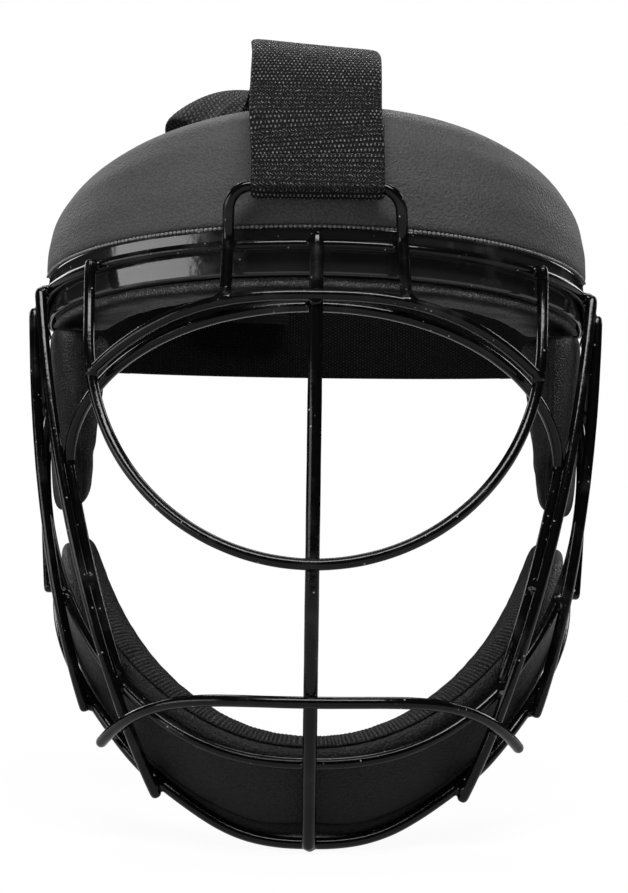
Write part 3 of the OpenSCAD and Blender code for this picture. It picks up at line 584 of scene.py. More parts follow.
def tube(name, centres, outs, r, finish, swell=0.012, past=0.0, closed=False):
    along = unit(np.gradient(centres, axis=0))
    if closed:
        along = unit(np.roll(centres, -1, 0) - np.roll(centres, 1, 0))
    side = unit(np.cross(along, outs))
    up = np.cross(side, along)
    reach = travelled(centres)
    phase = len(name)
    size = r * (1 + swell * (np.sin(reach / 5.3 + phase) + 0.6 * np.sin(reach / 2.1 + 2 * phase)) / 1.6)
    turn = np.linspace(0, 2 * math.pi, TUBE_SIDES, endpoint=False)[None, :, None]
    circle = np.cos(turn) * up[:, None] + np.sin(turn) * side[:, None]
    rings = centres[:, None] + circle * size[:, None, None]
    if closed:
        points = rings.reshape(-1, 3)
        faces = [[i % len(points) for i in face] for face in quads(len(rings) + 1, TUBE_SIDES)]
        return new_piece(name, points, faces, finish)
    ends = []
    for i, way in ((0, 1), (-1, -1)):
        tip = centres[i] - way * along[i] * past
        ends.append([tip + way * along[i] * (d * r) + circle[i] * (r * k) for d, k in END_PROFILE])
    inner = [ring for ring, s in zip(rings, reach) if r - past < s < reach[-1] - r + past]
    return loft(name, [*ends[0], *inner, *reversed(ends[1])], finish)


# The mouth wire's ends reach past its stations, on to the side wires
MOUTH_PAST = 0.56 * WIRE_R
for name, (centres, outs) in routes.items():
    r = BAR_R if name == "centre_bar" else WIRE_R
    past = MOUTH_PAST if name == "mouth_wire" else 0.0
    wire = tube(name + "_coat", centres, outs, r, wire_coat, past=past)
    dress(wire, "cage", "coated_wire", name)
print("tubes:", len(routes), "with", TUBE_SIDES, "sides")

# %% [markdown]
# ## Weld fillets
# Where two wires cross, the weld and the coat fill the corner between them. Metaballs do just
# that: two short rods melt into each other where they meet. Each rod is a little thinner
# than its wire, so only the fillet shows. The metaballs become one plain mesh.


# %% Find the crossings
def rod_place(points, index, inset=4.3):
    """The place for a rod on a wire near a crossing, far enough from the wire's ends."""
    steps = travelled(points)
    at = int(np.argmin(abs(steps - np.clip(steps[index], inset, steps[-1] - inset))))
    return points[at], unit(points[min(at + 1, len(points) - 1)] - points[max(at - 1, 0)])


def crossings(first, second, apart=14.0, reach=4.6):
    """For each place where two wires pass within reach: the middle, and a rod on each wire."""
    a, b = routes[first][0], routes[second][0]
    gap = np.linalg.norm(a[:, None] - b[None], axis=2)
    found = []
    for flat in np.argsort(gap, axis=None):
        i, j = np.unravel_index(flat, gap.shape)
        if gap[i, j] > reach:
            break
        if all(np.linalg.norm(a[i] - a[k]) > apart for k, _ in found):
            found.append((i, j))
    return [((a[i] + b[j]) / 2, rod_place(a, i), rod_place(b, j)) for i, j in found]


side_wires = [f"side_wire_{place}_{word}" for place in SIDE_WIRES for _, word in BOTH_SIDES]
hoops = ("rim_wire", "upper_jaw_wire", "lower_jaw_wire")
pairs = [(name, wire) for name in hoops for wire in side_wires]
pairs += [("centre_bar", name) for name in
          ("rim_wire", "brow_wire", "face_ring_wire", "eye_wire", "mouth_wire", *hoops[1:])]
pairs += [("eye_wire", "brow_wire"), ("eye_wire", "rim_wire"), ("strap_loop", "rim_wire"),
          ("face_ring_wire", "upper_jaw_wire")]
pairs += [("mouth_wire", wire) for wire in side_wires[:2]]
welds = [weld for first, second in pairs for weld in crossings(first, second)]
for wire in side_wires[:2]:
    welds += crossings("face_ring_wire", wire, apart=60.0)
foot_welds = crossings("strap_loop", "brow_wire")
print("welds:", len(welds) + len(foot_welds))

# %% Melt them together
ROD_REACH, ROD_HALF, FILLET_REACH = 3.35, 2.6, 3.5
# The loop's feet have larger fillets, which stand on the brow wire
FOOT_REACH, FOOT_RISE = 4.6, np.array([0, 0, 1.6])
melt = bpy.data.metaballs.new("weld_melt")
melt.resolution = melt.render_resolution = 0.45
melt.threshold = 0.6
for number, (middle, *rods) in enumerate(foot_welds + welds):
    for centre, way in rods:
        rod = melt.elements.new(type="CAPSULE")
        rod.co, rod.radius, rod.size_x = centre, ROD_REACH, ROD_HALF
        rod.rotation = Vector((1, 0, 0)).rotation_difference(Vector(way))
    bead = melt.elements.new(type="BALL")
    bead.co, bead.radius = middle, FILLET_REACH
    if number < len(foot_welds):
        bead.co, bead.radius = middle + FOOT_RISE, FOOT_REACH
source = in_scene("weld_melt", melt)
bpy.context.view_layer.update()
solid = bpy.data.meshes.new_from_object(source.evaluated_get(bpy.context.evaluated_depsgraph_get()))
bpy.data.objects.remove(source)
points = [tuple(v.co) for v in solid.vertices]
weld_mesh = new_piece("weld_fillets", points, [tuple(f.vertices) for f in solid.polygons], wire_coat)
dress(weld_mesh, "cage", "coated_wire")
print("fillet mesh:", len(points), "points")

# %% [markdown]
# ## Sections with soft corners
# Pads and strips have a section drawn as a few corners. `soft_loop` rounds the corners and
# spaces the points evenly, so that rings with different sizes still match one to one.


# %% Rounded sections
def soft_loop(corners, radius, count):
    corners = np.asarray(corners, float)
    path = []
    for i, p in enumerate(corners):
        before, after = corners[i - 1] - p, corners[(i + 1) % len(corners)] - p
        r = min(radius, 0.48 * np.linalg.norm(before), 0.48 * np.linalg.norm(after))
        a, b = p + unit(before) * r, p + unit(after) * r
        for t in np.linspace(0, 1, 7):
            path.append(a * (1 - t) ** 2 + 2 * p * t * (1 - t) + b * t * t)
    path.append(path[0])
    path = np.array(path)
    reach = travelled(path)
    marks = np.linspace(0, reach[-1], count, endpoint=False)
    return at_marks(marks, reach, path)


def end_share(t, sharpness=10.0):
    """How full a cushion's section is near its end, from 1 to almost 0."""
    return max(0.0004, 1 - abs(t) ** sharpness) ** 0.5


def drawn_in(ring, k):
    middle = ring.mean(0)
    return middle + (ring - middle) * k


def spread(count, crowd=1.0):
    """Steps from -1 to 1, closer together near the ends."""
    t = np.linspace(-1, 1, count)
    return (1 - crowd) * t + crowd * np.sin(t * math.pi / 2)


# %% [markdown]
# ## Brow strip
# A flat strip of coated steel runs inside the rim wire from ear to ear. It carries the brow
# pad, and the harness is riveted to its ends. Its edges are rounded by the coat.

# %% Strip
STRIP_TOP, STRIP_LOW, STRIP_T, RIVET_Y, RIVET_HEAD = 5.2, 11.3, 1.5, 12, 10
strip_out = -LAYER - WIRE_R + WELD_SINK
rivet_z = strip_height(90) + (STRIP_TOP - STRIP_LOW) / 2
strip_tail = RIVET_Y + RIVET_HEAD


def strip_point(a, out, z, back=0.0):
    w, d = half_w(strip_height(a)), half_depth(strip_height(a))
    flat = unit(np.array([d * sin(a), -w * cos(a)]))
    return np.array([w * sin(a) + out * flat[0], -d * cos(a) + out * flat[1] + back, z])


def round_brow(a, section, back=0.0):
    """A ring of points at one angle, from a section of distances out and heights."""
    return np.array([strip_point(a, out, z, back) for out, z in section])


def strip_ring(a, back=0.0):
    low, top, inside = strip_height(a) - STRIP_LOW, strip_height(a) + STRIP_TOP, strip_out - STRIP_T
    section = [(strip_out, low), (inside, low), (inside, top), (strip_out, top)]
    return round_brow(a, soft_loop(section, 0.7, 48), back)


# How far back each ring of the tail lies, and how full it is
TAIL = [(1.0, 0.93), (0.995, 0.975), (0.97, 1), (0.8, 1), (0.5, 1), (0.2, 1)]
rings = [drawn_in(strip_ring(-90, strip_tail * t), k) for t, k in TAIL]
rings += [strip_ring(a) for a in np.linspace(-90, 90, 181)]
rings += [drawn_in(strip_ring(90, strip_tail * t), k) for t, k in reversed(TAIL)]
dress(loft("brow_strip_coat", rings, strip_coat), "cage", "coated_strip", "brow_strip")
print("strip from", round(rings[0][0][1], 1), "mm behind the temples")

# %% [markdown]
# ## Forehead pad
# One thick pad of moulded foam stands on the strip, bulges over its edge and leans back
# towards the crown. It is a loft round the head, with rounded ends and a soft top edge.

# %% Pad
PAD_T, PAD_TOP_Z, PAD_FALL, PAD_LIP, PAD_LEAN, GAP = 16, 118.5, 36, 0.8, 15, 0.3
# Degrees: where the pad ends, and how much sooner its foam ends beside the tabs
PAD_END, TAB_ROOM = 89, 6
# The pad sits a little askew, higher on the wearer's left
PAD_ASKEW = 2.2
pad_out, pad_in = strip_out + PAD_LIP, strip_out - STRIP_T - GAP
pad_back = pad_in - PAD_T


def pad_top(a):
    return PAD_TOP_Z - PAD_FALL * (1 - cos(a)) + PAD_ASKEW * sin(a)


def pad_shelf(a):
    return strip_height(a) + STRIP_TOP + GAP


def pad_lean_at(a):
    return PAD_LEAN * (pad_top(a) - pad_shelf(a)) / (PAD_TOP_Z - RIM_Z)


def pad_inner(a, z):
    rise = (z - pad_shelf(a)) / (pad_top(a) - pad_shelf(a)) / 0.55
    return pad_back - 0.4 * pad_lean_at(a) * min(1, max(0, rise))


def pad_section(a):
    low, shelf, top = strip_height(a) - STRIP_LOW, pad_shelf(a), pad_top(a)
    h, lean = top - shelf, pad_lean_at(a)
    return [(pad_in, low), (pad_in, shelf), (pad_out - 0.4, shelf), (pad_out + 0.2, shelf + 2.2),
            (pad_out - lean * 0.01, shelf + h * 0.35), (pad_out - lean * 0.26, shelf + h * 0.7),
            (pad_out - lean * 0.7, top - 3.2), (pad_out - lean - 2.6, top + 0.2),
            (pad_back - lean + 5, top + 0.2), (pad_back - lean + 1, top - 3),
            (pad_inner(a, top), shelf + h * 0.55), (pad_back, shelf), (pad_back, low)]


def pad_angle(a, out, z):
    """Behind the strip the foam ends sooner, to leave room for the webbing on the rivet."""
    near_end, inside = smooth((abs(a) - 72) / 17), smooth((pad_out - out) / 3)
    low = 1 - smooth((z - pad_shelf(a) - 2) / 8)
    return a - math.copysign(TAB_ROOM * near_end * inside * low, a)


rings = []
for u in spread(170, 0.8):
    a = PAD_END * u
    section = soft_loop(pad_section(a), 2.4, 120)
    ring = np.array([strip_point(pad_angle(a, out, z), out, z) for out, z in section])
    rings.append(drawn_in(ring, end_share(u, 45)))
brow_pad = loft("forehead_pad_foam", rings, pad_foam)
dress(brow_pad, "cage", "foam", "forehead_pad")
print("pad rings:", len(rings))

# %% [markdown]
# ## Forehead liner
# Behind the pad lies a cushion of leatherette, and its lower edge hangs below the strip as a
# soft roll. Small waves along the roll show that the film is pulled round a foam core.

# %% Liner
LINER_T, ROLL_Z, ROLL_DROP, LINER_END = 7, 52.5, 14, 84
# A band of this height below the strip gets painted glints: pale sparkle painted into the film's colour
PAINTED_GLINT_BAND = 4


def ripple(point, size, strength):
    """A soft dent or swell of a film, from smooth noise."""
    return strength * noise.noise(Vector(point) / size)


def liner_section(a, k):
    back, t = pad_back - GAP, LINER_T * k
    face, shelf = back - t, strip_height(a) - STRIP_LOW - GAP
    roll = k * max(3, shelf - ROLL_Z + ROLL_DROP * (1 - cos(a)))
    low, top = shelf - roll, pad_shelf(a) + (pad_top(a) - pad_shelf(a)) * 0.5 * k
    tip = pad_inner(a, top) - GAP
    middle = (tip + back) / 2
    return [(back, shelf), (pad_in - 1, shelf), (pad_in + 0.4, shelf - roll * 0.35),
            (pad_in - 0.6, low + roll * 0.2), (pad_in - 3.5, low), (face + t * 0.4, low),
            (face + t * 0.1, low + roll * 0.5), (face, shelf + 4 * k), (middle - t, (shelf + top) / 2),
            (tip - t * 0.85, top - 4 * k), (tip - t * 0.55, top), (tip, top - k), (back, pad_shelf(a))]


rings, grain = [], []
for u in spread(220, 0.6):
    a = LINER_END * u
    section = soft_loop(liner_section(a, end_share(u)), 2.2, 110)
    ring = round_brow(a, section)
    push = np.array([ripple(p, 7.0, 0.25) + ripple(p, 1.9, 0.12) for p in ring])
    rings.append(ring + (ring - ring.mean(0)) / 12 * push[:, None])
    band_low = strip_height(a) - STRIP_LOW - PAINTED_GLINT_BAND
    # Painted glint: the share of pale sparkle painted on the roll's outer face below the strip
    grain.append([smooth((z - band_low) / 1.2) * smooth((out - pad_in + 5) / 2) for out, z in section])
liner = loft("forehead_liner_cushion", rings, brow_film)
mark(liner, "painted_glint", np.r_[np.ravel(grain), 0, 0])
dress(liner, "cage", "liner", "forehead_liner")
print("liner rings:", len(rings))

# %% [markdown]
# ## Temple pads
# A crowned cushion fills the space between each temple and the side wires. Its outer face lies
# flat behind the wires, its inner face swells, and a sewn welt runs down its front edge.

# %% Temple cushions
TEMPLE_T, TEMPLE_FLARE, TEMPLE_TOP, TEMPLE_LOW = 15, 6, 42, -25
TEMPLE_FRONT, TEMPLE_REAR, TEMPLE_EDGE, WELT_R = 60, 89, 4, 0.9
temple_out = -LAYER - WIRE_R - GAP


def temple_row(side, v):
    z, k = TEMPLE_LOW + (TEMPLE_TOP - TEMPLE_LOW) * (v + 1) / 2, end_share(v, 16 if v > 0 else 9)
    mid, half = (TEMPLE_FRONT + TEMPLE_REAR) / 2, (TEMPLE_REAR - TEMPLE_FRONT) / 2
    crown = TEMPLE_T + TEMPLE_FLARE * v - TEMPLE_EDGE
    steps = spread(44, 0.9)
    row = [cage_point(side * (mid + u * half * k), z, temple_out - 1.5 * abs(u) ** 4 - 2 * (1 - k))
           for u in steps]
    for u in reversed(steps[1:-1]):
        out = temple_out - TEMPLE_EDGE - crown * end_share(u, 3) * k
        point = cage_point(side * (mid + u * half * k), z, out)
        row.append(point + cage_normal(side * mid, z) * ripple(point, 6.0, 0.7))
    return row


for side, word in BOTH_SIDES:
    rows = [temple_row(side, -v) for v in spread(90, 0.95)]
    cushion = loft(f"temple_cushion_{word}", rows, cushion_film)
    dress(cushion, "cage", "liner", f"temple_pad_{word}")
    welt_at = [temple_row(side, v)[0] for v in np.linspace(0.93, -0.9, 60)]
    outs = np.array([cage_normal(side * TEMPLE_FRONT, p[2]) for p in welt_at])
    welt = tube(f"temple_welt_{word}", welt_at - outs, outs, WELT_R, cushion_film, swell=0.08)
    dress(welt, "cage", "liner")
print("temple cushions: 2")

# %% [markdown]
# ## Chin pad and chin liner
# The chin rests in a leatherette cushion on a band of smooth foam inside the jaw wires. The
# leatherette is gathered along its inner edge, so it has small pleats there, more than a
# millimetre apart: real ridges in the mesh, which fade out away from the edge.

# %% The band round the jaw
CHIN_Z, CHIN_RISE, CHIN_CURL, CHIN_T, CHIN_W, CHIN_END = -120, 85, 1.1, 10, 32, 86
PIPING_R, PIPING_RISE = 0.55, 8
chin_out = -LAYER - WIRE_R - GAP


def chin_height(a):
    return CHIN_Z + CHIN_RISE * (1 - cos(a)) ** CHIN_CURL


def chin_frame(a):
    p, q = cage_point(a, chin_height(a)), cage_point(a + 0.5, chin_height(a + 0.5))
    n = cage_normal(a, chin_height(a))
    up = unit(np.cross(unit(q - p), n))
    return p, n, -up if up[2] < 0 else up


def chin_rings(section, count, crowd):
    rings = []
    for u in spread(count, crowd):
        p, n, up = chin_frame(CHIN_END * u)
        rings.append(np.array([p + n * out + up * v for v, out in section(u)]))
    return rings


def chin_low(u):
    """The band's lower edge, which reaches down under the chin as far as the lower jaw wire."""
    a = abs(CHIN_END * u)
    return -CHIN_W / 2 - 4.6 * smooth(1 - a / 50) - 2.6 * smooth(a / 14) * smooth((64 - a) / 22)


def chin_pad_section(u):
    h, o, i = CHIN_W / 2, chin_out, chin_out - CHIN_T
    low = chin_low(u)
    section = [(low + 3, o - 0.4), (0, o + 0.1), (h - 3, o - 0.4), (h, o - 3), (h, i + 3), (h - 3, i),
               (low + 3, i), (low, i + 3), (low, o - 3)]
    return drawn_in(soft_loop(section, 2.6, 96), end_share(u, 14))


chin_band = loft("chin_pad_foam", chin_rings(chin_pad_section, 170, 0.8), chin_foam)
dress(chin_band, "cage", "foam", "chin_pad")
piping, piping_outs = [], []
for u in np.linspace(-0.9, 0.9, 200):
    p, n, up = chin_frame(CHIN_END * u)
    piping.append(p + n * (chin_out - 0.1) + up * (chin_low(u) + PIPING_RISE))
    piping_outs.append(n)
line = tube("chin_pad_piping", np.array(piping), np.array(piping_outs), PIPING_R, cushion_film, swell=0.06)
dress(line, "cage", "foam")
print("chin piping:", round(travelled(piping)[-1]), "mm")

# %% Gathered liner
LINER_EDGE, PLEAT, WRAP = 3, 1.5, 6.5


def chin_liner_section(u):
    h, top, back = CHIN_W / 2 - LINER_EDGE, CHIN_W / 2, chin_out - CHIN_T
    o, i = back - 2 * GAP, back - 2 * GAP - LINER_T
    section = [(-h + 1.5, o), (h - 2, o), (top + 0.1, back + 3), (top + 0.15, back + WRAP),
               (top + 0.8, back + WRAP), (top + 1, back + 3), (top + 0.2, back - 1), (h, i + 3),
               (h - 3.5, i + 0.4), (0, i), (-h + 3.5, i + 0.4), (-h, i + 3), (-h, o - 2)]
    return drawn_in(soft_loop(section, 2.0, 110), end_share(u))


def gathered(height, out):
    """How much the film is gathered: only where it wraps over the band's upper edge."""
    outer = (0.3 + 0.7 * smooth((out + 1.5) / 3)) * smooth((WRAP + 0.6 - out) / 1.5)
    return smooth((height - 12.5) / 3) * outer


GATHER_RINGS, GATHER_CROWD = 900, 0.25
rings = chin_rings(chin_liner_section, GATHER_RINGS, GATHER_CROWD)
travel = travelled([ring.mean(0) for ring in rings])
painted_glints = []
for ring, s, u in zip(rings, travel, spread(GATHER_RINGS, GATHER_CROWD)):
    middle = ring.mean(0)
    p, n, up = chin_frame(CHIN_END * u)
    heights, outs = (ring - p) @ up, (ring - p) @ n - chin_out + CHIN_T
    gather = np.array([gathered(h, d) for h, d in zip(heights, outs)]) * smooth((0.86 - abs(u)) / 0.1)
    wander = 1.6 * noise.noise(Vector((s / 9, 0.3, 0)))
    depth = 0.25 + 0.4 * abs(noise.noise(Vector((s / 3.1, 4.2, 0))))
    pleat = math.sin(2 * math.pi * (s + wander) / PLEAT)
    push = gather * depth * pleat + np.array([ripple(p, 4.5, 0.3) for p in ring])
    ring += (unit(ring - middle) * 0.4 + up * 0.6) * push[:, None]
    # Painted highlight: the crests of the pleats are painted paler
    painted_glints.append(gather * (0.5 + 0.5 * pleat) ** 2)
chin_cushion = loft("chin_liner_cushion", rings, cushion_film)
mark(chin_cushion, "painted_glint", np.r_[np.ravel(painted_glints), 0, 0])
dress(chin_cushion, "cage", "liner", "chin_liner")
print("chin liner:", round(travel[-1]), "mm long")

# %% [markdown]
# ## Straps
# A strap is a thin loft that follows a route and keeps a `weave` attribute, the millimetres
# across and along it. Its own relief is in the mesh: yarn that goes over and under in the
# webbing, and ribs along the elastic, which give its outline a fine saw edge.


# %% Strap builder
COLUMN_STEP = 0.62


def strap(name, centres, across, outs, width, thick, finish, relief, arch=0.0):
    columns = max(8, int(width / COLUMN_STEP) // 2 * 2) + 1
    u, reach = np.linspace(-1, 1, columns), travelled(centres)
    half = thick / 2 * np.maximum(0.0, 1 - np.abs(u) ** 14) ** 0.5
    middle = centres[:, None] + across[:, None] * (u * width / 2)[:, None]
    fall = np.broadcast_to(arch, len(centres))[:, None] * u**2
    faces = []
    for face in (1, -1):
        lift = face * half * (1 + relief(columns, reach) / (thick / 2)) - fall
        faces.append(middle + outs[:, None] * lift[:, :, None])
    rings = np.concatenate([faces[0], faces[1][:, -2:0:-1]], axis=1)
    piece = loft(name, rings, finish)
    weave = np.zeros(rings.shape)
    weave[..., 0] = np.r_[u, u[-2:0:-1]] * width / 2
    weave[..., 1] = reach[:, None]
    mark(piece, "weave", [*weave.reshape(-1, 3), (0, reach[0], 0), (0, reach[-1], 0)])
    return piece


def even(route, step):
    """A smooth curve through a route's points, in even steps."""
    route = np.asarray(route, float)
    padded = np.vstack([2 * route[0] - route[1], route, 2 * route[-1] - route[-2]])
    dense = []
    for i in range(len(route) - 1):
        p0, p1, p2, p3 = padded[i:i + 4]
        for t in np.linspace(0, 1, 24, endpoint=False):
            dense.append(0.5 * (2 * p1 + (p2 - p0) * t + (2 * p0 - 5 * p1 + 4 * p2 - p3) * t * t
                                + (3 * p1 - p0 - 3 * p2 + p3) * t ** 3))
    dense = np.array([*dense, route[-1]])
    reach = travelled(dense[:, :3])
    marks = np.linspace(0, reach[-1], max(3, int(reach[-1] / step)))
    return at_marks(marks, reach, dense)


# %% [markdown]
# ## Top strap
# Wide webbing goes round the loop's bar, is sewn to itself behind, and stands up in a fold
# before it runs over the crown to the back band. Behind the fold it is ribbed elastic, and
# it arches over the head from side to side.

# %% Top strap
STRAP_W, WEBBING_T, ROW = 45, 2.2, 1.65
loop_y = float(loop_station(0, LOOP_Z)[0][1])
wrap_r = WIRE_R + GAP + WEBBING_T / 2
wrap = [(0, loop_y + wrap_r + 4.5, LOOP_Z + 22, 0, 0), (0, loop_y + wrap_r + 1.5, LOOP_Z + 11, 0, 0)]
wrap += [(0, loop_y + wrap_r * cos(t), LOOP_Z - wrap_r * sin(t), 0, 0) for t in np.linspace(0, 180, 9)]
wrap += [(0, loop_y - wrap_r + 2.5, LOOP_Z + 11, 0, 0)]
# Centre of the webbing, its roll in degrees, and how far its edges fall below its middle
crest = [(-1, -82, 112, 0, 0), (-1, -74, 126, 0, 0), (-1, -61, 137, -3, 0), (-2, -44, 142, -5, 0),
         (-2, -30, 139, -3, 1), (-4, -17, 132, 0, 3), (-11, -5, 130, 0, 6), (-23, 8, 134, 0, 10),
         (-33, 22, 137, 0, 12), (-38, 37, 134, 0, 10), (-38, 53, 125, 0, 7), (-37, 69, 110, 4, 4),
         (-35, 82, 92, 8, 2), (-33, 90, 76, 12, 1), (-33, 91, 64, 13, 0), (-33, 90, 52, 13, 0)]
route = even([*wrap, *crest], ROW / 3)
centres, roll, arch = route[:, :3], route[:, 3], route[:, 4]
along = unit(np.gradient(centres, axis=0))
flat = unit(np.array([1.0, 0, 0]) - along * along[:, :1])
up = np.cross(flat, along)
turned = np.radians(roll)[:, None]
across = flat * np.cos(turned) + up * np.sin(turned)
# The webbing is ribbed behind the fifth station of the crest
fold_at = int(np.argmin(np.linalg.norm(centres - crest[4][:3], axis=1)))


def webbing_relief(columns, reach):
    """Yarn that goes over and under in front of the fold, and ribs behind it."""
    rows, cols = np.arange(len(reach))[:, None], np.arange(columns)
    twist = 0.75 + 0.25 * np.where((cols // 2 + rows // 3) % 2, 1, -1)
    yarn = 0.12 * np.sin(2 * math.pi * reach / ROW)[:, None] * twist
    share = np.clip((rows - fold_at) / 18, 0, 1)
    return yarn * (1 - share) + 0.2 * np.where(cols % 2, 1, -1) * share


top_strap = strap("top_strap_webbing", centres, across, np.cross(across, along), STRAP_W, WEBBING_T,
                  strap_cloth, webbing_relief, arch)
dress(top_strap, "crown_strap", "webbing", "top_strap")
print("top strap:", len(centres), "rings,", round(len(centres) * ROW / 3), "mm")

# %% [markdown]
# ## Harness
# At each temple a short piece of webbing turns on the rivet and loops round the front bar of
# a wire ring. The elastic band goes round the back of the head, through both rings, and its
# ends fold back and are held by hook-and-loop tape.

# %% Flat routes
TAB_W, TAB_REACH, RING_WIRE, RING_GAP, RIVET_T, SHANK_R = 25, 12, 3.4, 10.6, 1.3, 2.5
BAND_H, BAND_T, BAND_BACK, FLAP_L = 42, 2.5, 106, 48
tab_out_x = half_w(strip_height(90)) + strip_out - STRIP_T - GAP
tab_x = tab_out_x - WEBBING_T / 2
tab_wrap_r = RING_WIRE / 2 + GAP + WEBBING_T / 2
ring_x, ring_front_y = tab_x - tab_wrap_r, strip_tail + TAB_REACH
ring_rear_y = ring_front_y + RING_GAP + RING_WIRE
fold_x = tab_x - WEBBING_T - GAP / 3
band_wrap_r = RING_WIRE / 2 + GAP + BAND_T / 2
band_x, band_depth = ring_x - band_wrap_r, BAND_BACK - ring_rear_y


def arc(x, y, r, start, end, count=24):
    return [(x + r * cos(a), y + r * sin(a)) for a in np.linspace(start, end, count)]


def upright_strap(name, flat_route, side, width, thick, finish, relief, step=0.8):
    """A strap that stands on edge, at the height of the rivets."""
    plan = even(flat_route, step)
    centres = np.c_[plan[:, 0] * side, plan[:, 1], np.full(len(plan), rivet_z)]
    ways = unit(np.gradient(centres, axis=0))
    across = np.tile([0.0, 0.0, 1.0], (len(plan), 1))
    return strap(name, centres, across, np.cross(ways, across), width, thick, finish, relief)


def elastic_relief(columns, reach):
    """Ribs along the elastic, with the cross yarns showing faintly in the valleys."""
    rows, cols = np.arange(len(reach))[:, None], np.arange(columns)
    return 0.13 * np.where(cols % 2, 1, -1) + 0.03 * np.where(rows % 2, 1, -1)


def band_place(a, out=0.0):
    n = unit(np.array([band_depth * sin(a), band_x * cos(a)]))
    return np.array([band_x * sin(a), ring_rear_y + band_depth * cos(a)]) + out * n


print("rings:", round(ring_front_y, 1), "to", round(ring_rear_y, 1), "mm behind the temples")

# %% Tabs, rings and rivets
def ring_route():
    """The middle line of a ring: an upright rectangle with round corners."""
    bend, half = 3, BAND_H / 2 + 1 + RING_WIRE / 2
    corners = ((ring_rear_y - bend, half - bend, 0), (ring_front_y + bend, half - bend, 90),
               (ring_front_y + bend, -half + bend, 180), (ring_rear_y - bend, -half + bend, 270))
    return [place for y, z, start in corners for place in arc(y, z, bend, start, start + 90, 9)]


def rivet_profile(x, way):
    """A low dome: distances along X and radii."""
    return [(x + way * RIVET_T * sin(a), RIVET_HEAD / 2 * (0.62 + 0.38 * cos(a)) if a < 90 else 0.0)
            for a in range(0, 91, 15)]


for side, word in BOTH_SIDES:
    tab_route = [(tab_x, RIVET_Y - TAB_W / 2 + 1), (tab_x, RIVET_Y), (tab_x, (RIVET_Y + ring_front_y) / 2)]
    tab_route += arc(ring_x, ring_front_y, tab_wrap_r, 0, 205)
    tab_route += [(fold_x, ring_front_y - 8), (fold_x, ring_front_y - 16)]
    tab = upright_strap(f"anchor_webbing_{word}", tab_route, side, TAB_W, WEBBING_T, strap_cloth,
                        webbing_relief, ROW / 3)
    dress(tab, "harness", "webbing", f"anchor_tab_{word}")
    ring_line = np.array([(side * ring_x, y, rivet_z + z) for y, z in ring_route()])
    ring = tube(f"ring_wire_{word}", ring_line, np.tile([1.0, 0, 0], (len(ring_line), 1)), RING_WIRE / 2,
                rivet_coat, swell=0.0, closed=True)
    dress(ring, "harness", "ring_wire", f"strap_ring_{word}")
    inner_x, outer_x = tab_out_x - WEBBING_T - GAP, tab_out_x + GAP + STRIP_T
    shape = [*reversed(rivet_profile(inner_x, -1)), (inner_x, SHANK_R), (outer_x, SHANK_R),
             *rivet_profile(outer_x, 1)]
    rings = [[(side * x, RIVET_Y + max(r, 0.01) * cos(a), rivet_z + max(r, 0.01) * sin(a))
              for a in np.linspace(0, 360, 40, endpoint=False)] for x, r in shape]
    dress(loft(f"rivet_head_{word}", rings, rivet_coat), "cage", "rivet", f"harness_rivet_{word}")
print("tabs, rings and rivets: 2 of each")

# %% Band and flaps
band_wrap = arc(ring_x, ring_rear_y, band_wrap_r, 180, 360)
band_wrap += [(ring_x + band_wrap_r, ring_rear_y + 3)]
band_route = [(-x, y) for x, y in reversed(band_wrap)]
band_route += [tuple(band_place(a)) for a in np.linspace(-84, 84, 57)]
band_route += band_wrap
band = upright_strap("back_band_elastic", band_route, 1, BAND_H, BAND_T, band_cloth, elastic_relief)
dress(band, "harness", "elastic", "back_band")

root_y = ring_rear_y + 3 + GAP + BAND_T / 2
flap_start = math.degrees(math.acos((root_y - ring_rear_y) / band_depth))
flap_turn = FLAP_L / BAND_BACK * 65


def flap_place(t):
    """The flap comes off the ring's bar and lies down on the band."""
    lying, standing = BAND_T + GAP, 2 * band_wrap_r
    out = lying + (standing - lying) * (1 - smooth(t / 0.45))
    return tuple(band_place(flap_start - flap_turn * t, out))


for side, word in BOTH_SIDES:
    flap_route = [(ring_x + band_wrap_r, root_y - 1), *[flap_place(t) for t in np.linspace(0.08, 1, 14)]]
    name = f"band_flap_elastic_{word}"
    flap = upright_strap(name, flap_route, side, BAND_H, BAND_T, band_cloth, elastic_relief)
    dress(flap, f"{word}_flap", "elastic", f"band_flap_{word}")
print("band and 2 flaps")

# %% [markdown]
# ## Stitching
# Thread is laid as a row of short raised stitches: each is a small spindle along the seam,
# sunk to half its height. The brow pad's lower edge and all sewn folds have them.


# %% Stitches
# Length, gap and thickness in millimetres
PAD_STITCH, STRAP_STITCH = (1.5, 0.15, 1.1), (2.2, 0.7, 0.5)
# Along a stitch of length 1, how thick it is
SPINDLE = [(-0.5, 0.15), (-0.42, 0.62), (-0.2, 0.95), (0, 1), (0.2, 0.95), (0.42, 0.62), (0.5, 0.15)]
STITCH_SIDES = 8


def stitches(name, line, outs, stitch, finish, body, slot):
    """A row of stitches along a line of points, as one mesh."""
    line, outs = np.asarray(line, float), np.asarray(outs, float)
    reach, (length, gap, thick) = travelled(line), stitch
    points, faces = [], []
    for start in np.arange(gap, reach[-1] - length - gap, length + gap):
        middle = start + length / 2
        c, out = at_marks(middle, reach, line), unit(at_marks(middle, reach, outs))
        a, b = at_marks([start, start + length], reach, line)
        way = unit(b - a)
        side, first = np.cross(way, out), len(points)
        for s, k in SPINDLE:
            for t in np.arange(STITCH_SIDES) * 360 / STITCH_SIDES:
                points.append(c + way * s * length + (out * cos(t) * 0.75 + side * sin(t)) * thick / 2 * k)
        faces += quads(len(SPINDLE), STITCH_SIDES, first)
        faces += [range(first, first + STITCH_SIDES), range(len(points) - STITCH_SIDES, len(points))]
    piece = new_piece(name, points, faces, finish)
    mark(piece, "weave", [(p[0], p[1] + p[2], 0) for p in points])
    dress(piece, body, slot)


